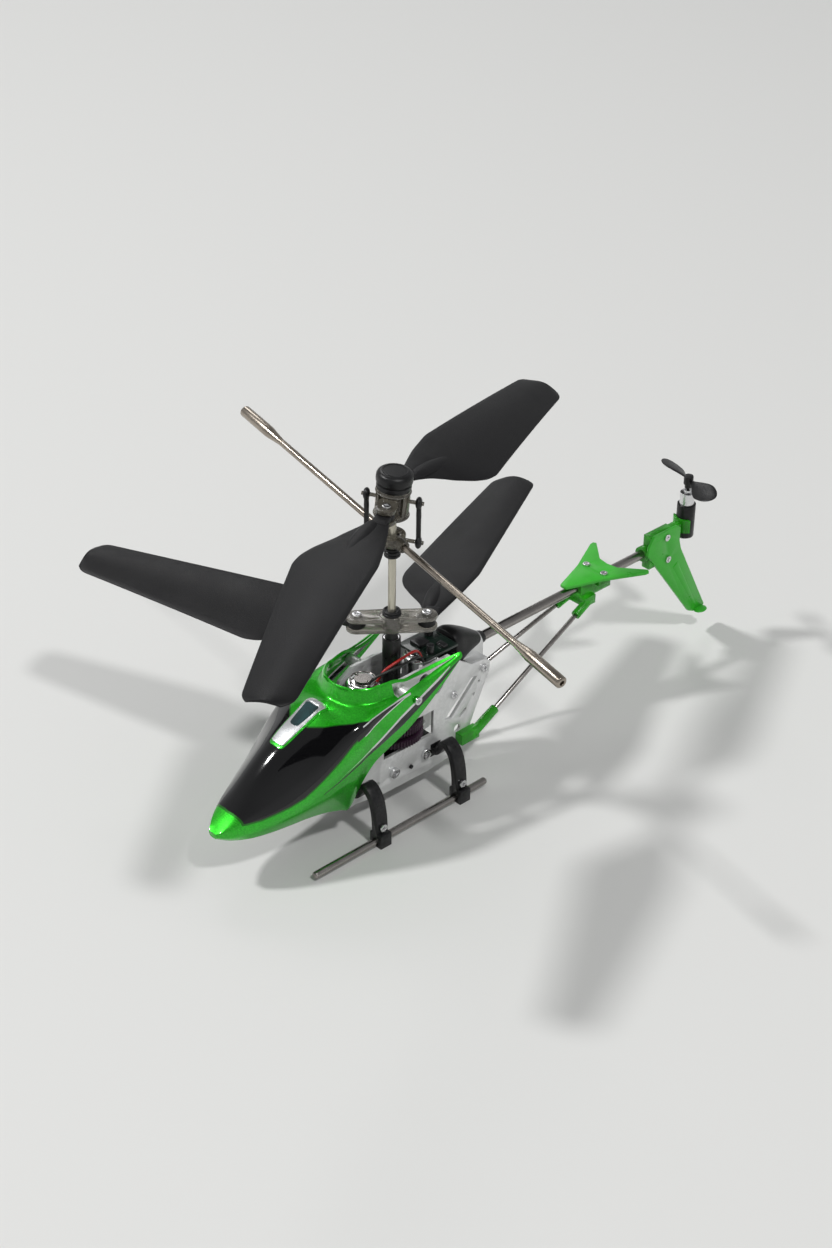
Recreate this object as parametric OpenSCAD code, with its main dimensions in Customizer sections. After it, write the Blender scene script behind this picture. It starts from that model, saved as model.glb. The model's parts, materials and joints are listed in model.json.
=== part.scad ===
// Small coaxial remote control helicopter with an alloy side-plate frame.
// The origin is on the ground under the rotor mast. The nose points along -Y and up is +Z.

/* [Landing gear] */
// Distance from the centre plane to each skid tube
skid_x = 17.9; // [15:0.1:21]
// Radius of a skid tube
skid_r = 1.1; // [0.8:0.1:1.4]
// Height of a skid tube's centre line
skid_z = 1.7; // [1.7:0.1:2.2]
// Reach of the skids ahead of the mast
skid_front = 44.5; // [36:0.5:50]
// Reach of the skids behind the mast
skid_rear = 20.3; // [17:0.5:28]
// Position of the front leg along the body
front_leg_y = -20.2; // [-21:0.1:-19.5]
// Position of the rear leg along the body
rear_leg_y = 10.6; // [10.6:0.1:12]
// Width of a leg along the body
leg_w = 4; // [3:0.1:4.2]
// Thickness of a leg
leg_t = 2.2; // [1.6:0.1:2.4]
// Height of the top of a leg's shoulder
leg_top_z = 18.2; // [16:0.1:19]

/* [Frame] */
// Clear width between the two side plates
plate_gap = 13; // [12.4:0.1:14]
// Thickness of a side plate
plate_t = 1; // [0.8:0.1:1.4]
// Diameter of the main frame screw heads
frame_screw_d = 3.2; // [2.6:0.1:3.4]
// Top of the motor deck
deck_z = 29; // [28.5:0.1:30]
// Thickness of the motor deck
deck_t = 2; // [1.6:0.1:2.4]
// Diameter of a main motor
motor_d = 10; // [8:0.1:10.4]
// Height of a main motor
motor_h = 13; // [10:0.1:14]

/* [Gears and shafts] */
// Gear module
gear_module = 0.3; // [0.28:0.01:0.31]
// Teeth on each main gear
gear_teeth = 60; // [56:2:62]
// Teeth on each motor pinion
pinion_teeth = 12; // [10:1:13]
// Face width of a main gear
gear_face = 2; // [1.4:0.1:2.2]
// Bottom of the inner shaft's gear
inner_gear_z = 19.4; // [19:0.1:19.6]
// Bottom of the outer shaft's gear
outer_gear_z = 23.2; // [23:0.1:23.6]
// Radius of the inner shaft
inner_shaft_r = 1.1; // [0.9:0.05:1.2]
// Outside radius of the outer shaft
outer_shaft_r = 1.8; // [1.6:0.05:1.9]
// Outside radius of the mast housing
mast_r = 2.6; // [2.5:0.05:3]
// Top of the mast housing
mast_top = 51.6; // [48:0.1:52.4]

/* [Lower rotor] */
// Height of the lower blades' root
lower_rotor_z = 56.7; // [56:0.1:60]
// Direction of the lower hub, in degrees
lower_hub_dir = 51; // [0:1:90]
// Distance from the mast to a lower blade's screw
lower_pivot = 9.7; // [9:0.1:12]
// Width of the lower hub plates
hub_w = 6; // [5.6:0.1:7]
// Swing of the first lower blade from straight, in degrees
lower_swing_a = 66.6; // [-70:0.1:70]
// Swing of the second lower blade from straight, in degrees
lower_swing_b = -28.8; // [-70:0.1:70]

/* [Upper rotor] */
// Height of the rotor head's pivot
head_z = 95.8; // [94:0.1:100]
// Direction of the rotor head, in degrees
head_dir = 125; // [110:1:140]
// Tilt of the rotor head at rest, in degrees
head_tilt = 4.56; // [4.5:0.01:4.6]
// Distance from the mast to an upper blade's screw
upper_pivot = 9; // [8.8:0.1:11]
// Swing of the first upper blade from straight, in degrees
upper_swing_a = -18; // [-40:0.1:20]
// Swing of the second upper blade from straight, in degrees
upper_swing_b = -6.3; // [-40:0.1:20]
// Radius of the head cap
cap_r = 5.1; // [4.4:0.1:5.6]
// Height of the head cap
cap_h = 4; // [3:0.1:5]

/* [Blades] */
// Length of a blade from its screw to its tip
blade_len = 86; // [75:0.5:95]
// Width of a blade at its widest
blade_chord = 23; // [19:0.1:26]
// Width of a blade at its tip
tip_chord = 13.5; // [10:0.1:16]
// Thickness of a blade
blade_t = 0.9; // [0.7:0.05:1.2]
// Pitch of a blade at its root, in degrees
blade_pitch = 12; // [8:0.5:13]
// Droop of the upper blade tips
upper_droop = 6; // [0:0.1:7]
// Droop of the lower blade tips
lower_droop = 0.6; // [0:0.1:2]

/* [Flybar] */
// Height of the flybar's pivot
flybar_z = 83.6; // [82:0.1:84.4]
// Direction of the flybar, in degrees
flybar_dir = 173.4; // [173:0.1:174]
// Tilt of the flybar at rest, in degrees
flybar_tilt = 6.1; // [6:0.05:6.2]
// Reach of the flybar from the mast
flybar_reach = 73; // [60:0.5:80]
// Radius of the flybar rod
flybar_r = 1; // [0.8:0.05:1.2]
// Radius of a flybar weight
weight_r = 1.7; // [1.4:0.05:2]
// Length of a flybar weight
weight_len = 13; // [9:0.5:16]
// Distance from the mast to each link
link_reach = 7.2; // [7:0.1:7.6]

/* [Tail] */
// Radius of the tail boom
boom_r = 1.45; // [1.2:0.05:1.7]
// Height of the tail boom's centre line
boom_z = 36.2; // [36:0.1:36.4]
// End of the tail boom
boom_end = 114; // [112:0.5:120]
// Radius of a support rod
rod_r = 0.7; // [0.5:0.05:0.8]
// Front end of the stabiliser's clamp
stabiliser_y = 75; // [70:0.5:78]
// Thickness of the stabiliser and fin
fin_t = 0.9; // [0.7:0.05:1.2]
// Position of the tail motor
tail_motor_y = 124.5; // [124:0.1:128]
// Radius of the tail motor's sleeve
sleeve_r = 2.9; // [2.7:0.05:3.2]
// Height of the tail propeller's hub top
tail_hub_z = 56.5; // [55:0.1:58]
// Radius of the tail propeller
tail_prop_r = 14.5; // [12:0.1:16]

/* [Canopy] */
// Wall of the canopy shell
canopy_t = 0.9; // [0.7:0.05:1.1]

/* [Fits] */
// Gap between parts that slide or turn on each other
running_gap = 0.05; // [0.03:0.01:0.06]
// Gap between parts that must not touch
free_gap = 0.3; // [0.25:0.01:0.35]

/* [Hidden] */
$fn = 48;
silver = [0.78, 0.78, 0.79];
gunmetal = [0.45, 0.42, 0.40];
plastic_black = [0.06, 0.06, 0.065];
smoke = [0.32, 0.30, 0.27];
leaf_green = [0.15, 0.60, 0.12];
paint_green = [0.05, 0.55, 0.06];

plate_in = plate_gap / 2;
plate_out = plate_in + plate_t;
centre_distance = gear_module * (gear_teeth + pinion_teeth) / 2;
gear_tip_r = gear_module * (gear_teeth / 2 + 0.8);

// ---------------------------------------------------------------- shared shapes

// A flat plate drawn in Y and Z, extruded along X from x to x + t.
module yz_plate(x, t) {
    translate([x, 0, 0]) rotate([90, 0, 90]) linear_extrude(t) children();
}

// A cylinder from point a to point b.
module rod(a, b, r) {
    d = b - a;
    len = norm(d);
    translate(a)
        rotate([0, acos(d[2] / len), atan2(d[1], d[0])])
            cylinder(r = r, h = len);
}

// A cross-head screw along +Z: the underside of its head is at z = 0 and its shank goes down.
module screw(head_d, head_h, shank_r, shank_len) {
    difference() {
        cylinder(d = head_d, h = head_h);
        for (turn = [0, 90])
            rotate([0, 0, turn])
                translate([-head_d * 0.3, -head_d * 0.06, head_h * 0.45])
                    cube([head_d * 0.6, head_d * 0.12, head_h]);
    }
    translate([0, 0, -shank_len]) cylinder(r = shank_r, h = shank_len);
}

function involute(base_r, angle) =
    base_r * [cos(angle) + angle * PI / 180 * sin(angle), sin(angle) - angle * PI / 180 * cos(angle)];
function turned(p, angle) =
    [p[0] * cos(angle) - p[1] * sin(angle), p[0] * sin(angle) + p[1] * cos(angle)];

pressure_angle = 25;
tooth_backlash = 0.05;
flank_steps = 3;

// The outline of a stub-tooth involute gear, with one tooth centred on +X.
function gear_outline(teeth) =
    let (
        pitch_r = gear_module * teeth / 2,
        base_r = pitch_r * cos(pressure_angle),
        tip_r = pitch_r + 0.8 * gear_module,
        root_r = pitch_r - 1.05 * gear_module,
        start_r = max(base_r, root_r),
        half_tooth = 90 / teeth - tooth_backlash / pitch_r * 90 / PI
            + (tan(pressure_angle) * 180 / PI - pressure_angle),
        flank = [for (i = [0 : flank_steps])
            let (
                r = start_r + (tip_r - start_r) * i / flank_steps,
                roll = sqrt(pow(r / base_r, 2) - 1) * 180 / PI
            ) turned(involute(base_r, roll), -half_tooth)],
        side = concat(base_r > root_r ? [turned([root_r, 0], -half_tooth)] : [], flank),
        mirrored = [for (i = [len(side) - 1 : -1 : 0]) [side[i][0], -side[i][1]]]
    )
    [for (tooth = [0 : teeth - 1], p = concat(side, mirrored)) turned(p, 360 * tooth / teeth)];

// A round tube swept along a list of points, closed at both ends.
module swept_wire(points, r, sides = 8) {
    count = len(points);
    ring = [for (i = [0 : count - 1])
        let (
            ahead = points[min(i + 1, count - 1)] - points[max(i - 1, 0)],
            t = ahead / norm(ahead),
            side = cross(t, abs(t[2]) < 0.8 ? [0, 0, 1] : [1, 0, 0]),
            u = side / norm(side),
            v = cross(t, u)
        )
        for (k = [0 : sides - 1])
            points[i] + r * (cos(360 * k / sides) * u + sin(360 * k / sides) * v)];
    walls = [for (i = [0 : count - 2], k = [0 : sides - 1])
        let (a = i * sides + k, b = i * sides + (k + 1) % sides)
        [a, b, b + sides, a + sides]];
    first = [for (k = [sides - 1 : -1 : 0]) k];
    last = [for (k = [0 : sides - 1]) (count - 1) * sides + k];
    polyhedron(ring, concat(walls, [first, last]));
}

// ---------------------------------------------------------------- curves through a few points

function spline_at(a, b, c, d, t) =
    0.5 * (2 * b + (c - a) * t + (2 * a - 5 * b + 4 * c - d) * t * t
        + (3 * b - a - 3 * c + d) * t * t * t);
function spline(points, steps) =
    let (n = len(points))
    concat(
        [for (i = [0 : n - 2], s = [0 : steps - 1])
            spline_at(points[max(i - 1, 0)], points[i], points[i + 1],
                points[min(i + 2, n - 1)], s / steps)],
        [points[n - 1]]);

// ---------------------------------------------------------------- landing gear

foot_h = 4.2;
root_h = 4.4;
leg_z = 12.3;
leg_path = spline([
    [plate_out - 0.2, leg_z], [plate_out + 2.4, leg_z + 1.2], [skid_x - 5.4, leg_top_z - leg_t / 2],
    [skid_x - 2.2, leg_top_z - 3.6], [skid_x - 0.7, 9], [skid_x - 0.4, foot_h - 0.4],
], 4);
function ribbon(path, w) =
    let (n = len(path), normals = [for (i = [0 : n - 1])
        let (d = path[min(i + 1, n - 1)] - path[max(i - 1, 0)]) [-d[1], d[0]] / norm(d)])
    concat([for (i = [0 : n - 1]) path[i] + w / 2 * normals[i]],
        [for (i = [n - 1 : -1 : 0]) path[i] - w / 2 * normals[i]]);

module leg_arch(y) {
    color(plastic_black) difference() {
        union() {
            for (side = [0, 1]) mirror([side, 0, 0]) {
                translate([0, y + leg_w / 2, 0]) rotate([90, 0, 0]) linear_extrude(leg_w)
                    polygon(ribbon(leg_path, leg_t));
                translate([skid_x - 2.3, y - leg_w / 2, 0]) cube([4.6, leg_w, foot_h]);
            }
            translate([-plate_out, y - leg_w / 2, leg_z - root_h / 2])
                cube([2 * plate_out, leg_w, root_h]);
        }
        for (side = [-1, 1]) {
            translate([side * skid_x, y, skid_z]) rotate([90, 0, 0])
                cylinder(r = skid_r, h = leg_w + 2, center = true);
            translate([side * (skid_x + 0.8), y, 6]) rotate([0, -side * 90, 0])
                cylinder(r = 0.6, h = 3.2);
        }
    }
}
module front_leg() { leg_arch(front_leg_y); }
module rear_leg() { leg_arch(rear_leg_y); }

module skid(side) {
    color(gunmetal) translate([side * skid_x, skid_rear, skid_z]) rotate([90, 0, 0]) {
        cylinder(r = skid_r, h = skid_rear + skid_front);
        translate([0, 0, -0.5]) cylinder(r1 = skid_r * 0.7, r2 = skid_r, h = 0.5);
        translate([0, 0, skid_rear + skid_front]) cylinder(r1 = skid_r, r2 = skid_r * 0.7, h = 0.5);
    }
}
module left_skid() { skid(-1); }
module right_skid() { skid(1); }

module skid_screws() {
    color(silver) for (side = [-1, 1], y = [front_leg_y, rear_leg_y])
        translate([side * (skid_x + 0.8), y, 6]) rotate([0, side * 90, 0])
            screw(2.4, 0.7, 0.6, 2.4);
}

// ---------------------------------------------------------------- frame

frame_holes = [[-5.8, 11.9], [6.5, 12.6]];
deck_screws = [[-13.2, deck_z - deck_t / 2], [17.4, deck_z - deck_t / 2]];
boom_screw = [29.4, 31.9];
plate_outline = [
    [-22.8, 8.4], [-20.4, 8], [-9.8, 6.2], [7.4, 5.8], [15.5, 6.6], [21.9, 7.8], [24.4, 10.2],
    [24.6, 15], [31.9, 30.6], [31.7, 33.4], [29.6, 34.7], [24.4, 35.2], [20.6, 37.8], [15.5, 42.2],
    [-9, 42.2], [-13.6, 39.4], [-16.4, 31], [-16.4, 24.6], [-13.8, 19.4], [-17.2, 17], [-22.8, 16.8],
];
// A slot with round ends from a to b
module slot2d(a, b, r) {
    turn = atan2(b[1] - a[1], b[0] - a[0]);
    polygon(concat(
        [for (k = [0 : 8]) b + r * [cos(turn - 90 + 22.5 * k), sin(turn - 90 + 22.5 * k)]],
        [for (k = [0 : 8]) a + r * [cos(turn + 90 + 22.5 * k), sin(turn + 90 + 22.5 * k)]]));
}
module side_plate(x) {
    color(silver) difference() {
        yz_plate(x, plate_t) difference() {
            union() {
                polygon(plate_outline);
                translate([front_leg_y - 1.6, leg_z]) circle(4.6);
            }
            for (y = [front_leg_y, rear_leg_y])
                translate([y - leg_w / 2, leg_z - root_h / 2]) square([leg_w, root_h]);
            for (p = frame_holes) translate(p) circle(0.75);
            for (p = deck_screws) translate(p) circle(0.6);
            translate(boom_screw) circle(0.6);
            // The gears reach through this window.
            translate([-9.6, 18]) square([19.2, 8.2]);
            // The slim triangle between the two rear arms
            polygon([[13.8, 20.6], [16.8, 20], [26.9, 30.2], [24.6, 30.8]]);
            translate([19.2, 15.4]) circle(1.3);
            slot2d([20.4, 19.2], [22.4, 20.6], 0.5);
            translate([25.6, 24.4]) circle(0.5);
            translate([27.6, 28]) circle(0.45);
            slot2d([10.8, 32.4], [15, 37.2], 1.3);
            translate([5.6, 38.2]) circle(1.9);
            slot2d([-8.4, 31.2], [-5.2, 31.2], 1.4);
            translate([0.8, 10.8]) circle(0.6);
            slot2d([-15, 10.4], [-12, 10.4], 1);
            slot2d([15.4, 9.4], [19, 10.2], 0.9);
        }
        // A hole for the canopy post
        translate([x - 1, canopy_screw[1], canopy_screw[2]]) rotate([0, 90, 0])
            cylinder(r = 1, h = plate_t + 2);
    }
}
module left_side_plate() { side_plate(-plate_out); }
module right_side_plate() { side_plate(plate_in); }

module lower_bridge() {
    color(plastic_black) difference() {
        union() {
            translate([-plate_in, -8, 9.6]) cube([plate_gap, 16.4, 5]);
            translate([0, 0, 14.6]) cylinder(r = 3.6, h = 2.2);
            for (side = [0, 1]) mirror([side, 0, 0]) translate([plate_in, 0.8, 10.8])
                rotate([0, 90, 0]) cylinder(r = 0.6, h = plate_t + 0.6);
        }
        for (p = frame_holes, side = [-1, 1])
            translate([side * (plate_in - 3), p[0], p[1]]) rotate([0, side * 90, 0])
                cylinder(r = 0.75, h = 4);
        translate([0, 0, 13]) cylinder(r = 2.4, h = 5);
    }
}

module frame_screws() {
    color(silver) for (side = [0, 1]) mirror([side, 0, 0]) {
        for (p = frame_holes) translate([plate_out, p[0], p[1]]) rotate([0, 90, 0])
            screw(frame_screw_d, 1, 0.75, plate_t + 3);
        for (p = concat(deck_screws, [boom_screw]))
            translate([plate_out, p[0], p[1]]) rotate([0, 90, 0])
                screw(2.4, 0.7, 0.6, plate_t + 2);
    }
}

module motor_deck() {
    bearing_r = outer_shaft_r + 0.9;
    color(plastic_black) difference() {
        union() {
            translate([-plate_in, -15, deck_z - deck_t]) cube([plate_gap, 34, deck_t]);
            translate([0, 0, deck_z]) cylinder(r = mast_r, h = mast_top - deck_z);
            translate([0, 0, deck_z]) cylinder(r1 = 3.4, r2 = mast_r, h = 2.4);
        }
        translate([0, 0, deck_z - deck_t - 1]) cylinder(r = outer_shaft_r + free_gap, h = mast_top);
        translate([0, 0, deck_z - deck_t - 1]) cylinder(r = bearing_r, h = 2.4);
        translate([0, 0, mast_top - 1.4]) cylinder(r = outer_shaft_r + 0.5, h = 2);
        for (y = [-centre_distance, centre_distance])
            translate([0, y, deck_z - deck_t - 1]) cylinder(r = 1.6, h = deck_t + 2);
        for (p = deck_screws, side = [-1, 1])
            translate([side * (plate_in - 2), p[0], p[1]]) rotate([0, side * 90, 0])
                cylinder(r = 0.6, h = 3);
    }
}

module ring(r_out, r_in, h) {
    difference() {
        cylinder(r = r_out, h = h);
        translate([0, 0, -1]) cylinder(r = r_in, h = h + 2);
    }
}
module shaft_bearings() {
    color(silver) {
        translate([0, 0, 15]) ring(2.4, inner_shaft_r + running_gap, 1.8);
        translate([0, 0, deck_z - deck_t]) ring(outer_shaft_r + 0.9, outer_shaft_r + running_gap, 1.4);
        translate([0, 0, mast_top - 1.4]) ring(outer_shaft_r + 0.5, outer_shaft_r + running_gap, 1.4);
    }
}

// A small can motor standing on the deck, shaft downward
module main_motor(y) {
    color(silver) translate([0, y, deck_z]) difference() {
        union() {
            cylinder(d = motor_d, h = motor_h - 1);
            translate([0, 0, motor_h - 1]) cylinder(d1 = motor_d, d2 = motor_d - 1.4, h = 0.7);
            translate([0, 0, motor_h - 1]) cylinder(r = 1.7, h = 1.4);
        }
        translate([0, 0, -1]) cylinder(r = 0.5 + running_gap, h = motor_h);
    }
}
module front_motor() { main_motor(-centre_distance); }
module rear_motor() { main_motor(centre_distance); }

// A motor's shaft with its pinion, one tooth gap facing the mast
module pinion(y, z, toward) {
    translate([0, y, 0]) {
        color("goldenrod") translate([0, 0, z - 0.2]) rotate([0, 0, toward + 180 / pinion_teeth])
            linear_extrude(gear_face + 0.4) polygon(gear_outline(pinion_teeth));
        color(silver) translate([0, 0, z - 0.6]) cylinder(r = 0.5, h = deck_z + motor_h - 3 - z);
    }
}
module front_pinion() { pinion(-centre_distance, inner_gear_z, 90); }
module rear_pinion() { pinion(centre_distance, outer_gear_z, -90); }

module main_gear(z, bore, hub_r, toward) {
    color([0.16, 0.09, 0.17]) difference() {
        union() {
            translate([0, 0, z]) rotate([0, 0, toward])
                linear_extrude(gear_face) polygon(gear_outline(gear_teeth));
            translate([0, 0, z - 0.7]) cylinder(r = hub_r, h = gear_face + 1.4);
        }
        translate([0, 0, z - 2]) cylinder(r = bore, h = gear_face + 4);
        for (turn = [0 : 60 : 300]) rotate([0, 0, turn]) translate([gear_module * gear_teeth * 0.34, 0, z - 1])
            cylinder(r = 1.1, h = gear_face + 2);
    }
}
module inner_gear() { main_gear(inner_gear_z, inner_shaft_r, 3, -90); }
module outer_gear() { main_gear(outer_gear_z, outer_shaft_r, 3.2, 90); }

// ---------------------------------------------------------------- battery, board and switch

module battery_tray() {
    color(plastic_black) {
        translate([-6, -48.6, 15.1]) cube([12, 34, 1]);
        translate([-plate_in, -21.5, 15.1]) cube([plate_gap, 6.5, 1]);
        translate([-3, -56.6, 15.1]) cube([6, 8.4, 1]);
        translate([-6, -49.6, 15.1]) cube([12, 1, 3.4]);
    }
}
module battery() {
    color([0.75, 0.76, 0.78]) translate([-5.6, -48, 16.1 ]) {
        cube([11.2, 25, 6.4]);
        translate([1, 25, 1]) cube([9.2, 1.2, 4.4]);
    }
}
module circuit_board() {
    color([0.05, 0.22, 0.12]) translate([-5.8, 8, deck_z + motor_h + 0.4]) cube([11.6, 12.4, 0.8]);
}
module board_components() {
    top = deck_z + motor_h + 1.2;
    color([0.08, 0.08, 0.09]) {
        translate([-3.6, 10.4, top]) cube([4, 4, 1]);
        translate([2, 15.4, top]) cube([3, 1.8, 0.9]);
        translate([4, 11.2, top]) cylinder(r = 1.1, h = 2.8);
        translate([-3.4, 17.6, top]) cylinder(r = 1.3, h = 2.2);
    }
}
module switch_block() {
    color(plastic_black) difference() {
        translate([-3.6, -7, 6.8]) cube([7.2, 7.6, 2.8]);
        translate([-1, -6, 5.8]) cube([2, 5.6, 2.6]);
    }
}
module switch_knob() {
    color([0.8, 0.8, 0.8]) {
        translate([-0.7, -5.6, 6.9]) cube([1.4, 2.2, 1.2]);
        translate([-0.6, -5.2, 5.9]) cube([1.2, 1.4, 1.2]);
    }
}
module charge_socket() {
    color([0.12, 0.12, 0.13]) difference() {
        translate([-2.2, 2, 6.6]) cube([4.4, 5.4, 3]);
        translate([0, 4.7, 5.6]) cylinder(r = 1.1, h = 3.4);
    }
}
module nose_light() {
    color([0.9, 0.92, 0.95]) translate([0, -56.6, 17.5]) rotate([90, 0, 0]) {
        cylinder(r = 1.4, h = 3);
        translate([0, 0, 3]) cylinder(r1 = 1.4, r2 = 0.7, h = 0.9);
        translate([0, 0, -0.8]) cylinder(r = 1.4, h = 0.8);
    }
}
wire_z = deck_z + motor_h + 0.05;
wire_route_red = spline([[3.4, -8.6, wire_z], [4.4, -6.6, 45.4], [5.2, -1, 47.2], [5, 4, 47.4],
    [4.6, 6.4, 45.6], [4.4, 7.4, 43.2]], 4);
wire_route_black = spline([[3, -11.6, wire_z], [4.8, -9.6, 45], [6.4, -3, 46.2], [6.4, 3.6, 46.2],
    [5.6, 6, 44.8], [5.4, 7.4, 42.6]], 4);
module motor_wires() {
    color([0.75, 0.08, 0.06]) swept_wire(wire_route_red, 0.4);
    color(plastic_black) swept_wire(wire_route_black, 0.4);
}

// ---------------------------------------------------------------- canopy

// Each station is [y, x and z of the lower edge, of the belly, of the crease, and of the top edge].
canopy_keys = [
    [-65.4, 0.9, 15.4, 1.7, 16.2, 1.5, 17.2, 0.6, 17.9],
    [-62, 3.4, 14.5, 4.5, 16.2, 4.1, 18.9, 1, 20.6],
    [-57, 5.8, 14, 7, 17.2, 6.4, 21.2, 1.2, 24.6],
    [-51, 7.6, 14, 9.4, 18.4, 8.6, 23.2, 1.4, 29.8],
    [-45, 8.7, 14, 11.2, 19.6, 10.4, 25.8, 1.5, 34.2],
    [-39, 9.2, 13.6, 12.6, 21, 12.2, 29.6, 1.6, 37.6],
    [-33, 9.4, 12.4, 13.6, 22.6, 13.4, 34, 1.7, 40.4],
    [-28, 9.8, 11, 14.2, 24.6, 13.8, 37.6, 1.8, 42.4],
    [-25, 10.2, 10.4, 14.5, 26, 13.8, 39.4, 1.9, 43.4],
    [-22.4, 12, 18, 14.7, 29, 13.8, 40.2, 2, 44.2],
    [-19.4, 14.2, 25.2, 14.9, 32, 13.8, 40.8, 6.2, 44.6],
    [-14, 14.7, 28.4, 15, 34, 13.8, 41.4, 9, 44.7],
    [-7, 15.1, 31.8, 15.1, 36, 13.9, 41.9, 10.2, 44.8],
    [0, 15.1, 36.4, 15, 39, 14, 42.9, 10.6, 45.2],
    [7, 14.8, 41.2, 14.8, 42.4, 14.1, 44.6, 11.8, 46.2],
    [13.6, 14.4, 46, 14.4, 46.3, 14.2, 46.9, 13.7, 47.4],
];
canopy_screw = [14.9, -4, 39.6];
canopy_stations = spline(canopy_keys, 2);
canopy_count = len(canopy_stations);
opening_station = 18;
function half_section(s) = spline([[s[1], s[2]], [s[3], s[4]], [s[5], s[6]], [s[7], s[8]]], 2);
function section_normal(h, j) =
    let (d = h[min(j + 1, 6)] - h[max(j - 1, 0)]) [d[1], -d[0]] / norm(d);
function canopy_ring(s, inset) =
    let (h = half_section(s), shift = inset > 0 && s[0] < -65 ? inset : 0,
        p = [for (j = [0 : 6]) h[j] - inset * section_normal(h, j)])
    concat([for (j = [0 : 6]) [-max(p[j][0], 0.2), s[0] + shift, p[j][1]]],
        [for (j = [6 : -1 : 0]) [max(p[j][0], 0.2), s[0] + shift, p[j][1]]]);
canopy_points = concat([for (s = canopy_stations) each canopy_ring(s, 0)],
    [for (s = canopy_stations) each canopy_ring(s, canopy_t)]);
function in_window(i, j) =
    let (y = canopy_stations[i][0], side_j = j > 6 ? 12 - j : j) side_j == 4 && y > -8 && y < 8;
function has_cell(i, j) =
    i >= 0 && i < canopy_count - 1 && j >= 0 && j <= 12
    && !(j == 6 && i >= opening_station) && !in_window(i, j);
function outer_at(i, j) = i * 14 + j;
function inner_at(i, j) = (canopy_count + i) * 14 + j;
function wall(i1, j1, i2, j2) =
    let (a = outer_at(i1, j1), b = outer_at(i2, j2), c = inner_at(i2, j2), d = inner_at(i1, j1))
    [[b, a, d], [b, d, c]];
canopy_faces = concat(
    [for (i = [0 : canopy_count - 2], j = [0 : 12]) if (has_cell(i, j))
        each [[outer_at(i, j), outer_at(i + 1, j), outer_at(i + 1, j + 1)],
            [outer_at(i, j), outer_at(i + 1, j + 1), outer_at(i, j + 1)],
            [inner_at(i, j), inner_at(i + 1, j + 1), inner_at(i + 1, j)],
            [inner_at(i, j), inner_at(i, j + 1), inner_at(i + 1, j + 1)]]],
    [for (i = [0 : canopy_count - 2], j = [0 : 12]) if (has_cell(i, j)) each concat(
        has_cell(i, j - 1) ? [] : wall(i, j, i + 1, j),
        has_cell(i + 1, j) ? [] : wall(i + 1, j, i + 1, j + 1),
        has_cell(i, j + 1) ? [] : wall(i + 1, j + 1, i, j + 1),
        (i == 0 || has_cell(i - 1, j)) ? [] : wall(i, j + 1, i, j))],
    [[for (j = [0 : 13]) outer_at(0, j)], [for (j = [13 : -1 : 0]) inner_at(0, j)]],
    [[outer_at(0, 0), outer_at(0, 13), inner_at(0, 13)], [outer_at(0, 0), inner_at(0, 13), inner_at(0, 0)]]
);
module canopy() {
    color(paint_green) difference() {
        polyhedron(canopy_points, canopy_faces);
        for (side = [-1, 1]) translate([0, canopy_screw[1], canopy_screw[2]])
            rotate([0, side * 90, 0]) cylinder(r = 0.8, h = 20, $fn = 16);
    }
}
module canopy_posts() {
    color(silver) for (side = [0, 1]) mirror([side, 0, 0])
        translate([0, canopy_screw[1], canopy_screw[2]]) rotate([0, 90, 0]) difference() {
            union() {
                translate([0, 0, plate_in]) cylinder(r = 1, h = plate_t);
                translate([0, 0, plate_out]) cylinder(r = 1.7, h = canopy_screw[0] - 1.6 - plate_out);
            }
            translate([0, 0, plate_out + 1]) cylinder(r = 0.6, h = 20);
        }
}
module canopy_screws() {
    color(silver) for (side = [0, 1]) mirror([side, 0, 0])
        translate([canopy_screw[0] + 0.1, canopy_screw[1], canopy_screw[2]]) rotate([0, 90, 0])
            screw(2.4, 0.7, 0.6, 5);
}

// ---------------------------------------------------------------- tail

boom_start = 22;
module boom_clamp() {
    color(silver) difference() {
        union() {
            translate([-plate_in, 25.4, 29.6]) cube([plate_gap, 6.2, 4.6]);
            translate([-3, 25.4, 29.6]) cube([6, 8, boom_z - 29.6]);
            translate([0, 25.4, boom_z]) rotate([-90, 0, 0]) cylinder(r = 3, h = 8);
        }
        translate([0, 20, boom_z]) rotate([-90, 0, 0]) cylinder(r = boom_r, h = 20);
        for (side = [-1, 1]) translate([side * (plate_in - 2), boom_screw[0], boom_screw[1]])
            rotate([0, side * 90, 0]) cylinder(r = 0.6, h = 3);
    }
}
// The rubber boot over the boom's root
module boom_cover() {
    color(plastic_black) difference() {
        union() {
            hull() {
                translate([-4.6, 20.9, 33.4]) cube([9.2, 1, 9.6]);
                translate([-3.4, 20.9, 43]) cube([6.8, 1, 1.6]);
                translate([-3.6, 24.4, 33.6]) cube([7.2, 1, 8]);
            }
        }
        translate([0, 19, boom_z]) rotate([-90, 0, 0]) cylinder(r = boom_r, h = 20);
    }
}
module tail_boom() {
    color(gunmetal) translate([0, boom_start, boom_z]) rotate([-90, 0, 0]) difference() {
        cylinder(r = boom_r, h = boom_end - boom_start);
        translate([0, 0, boom_end - boom_start - 4]) cylinder(r = boom_r - 0.5, h = 5);
    }
}

rod_start = [8.9, 25.5, 12.6];
rod_finish = [3.4, stabiliser_y + 2, 32.2];
module support_rod() {
    color(gunmetal) rod(rod_start, rod_finish, rod_r);
}
module left_support_rod() { mirror([1, 0, 0]) support_rod(); }
module right_support_rod() { support_rod(); }

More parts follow.
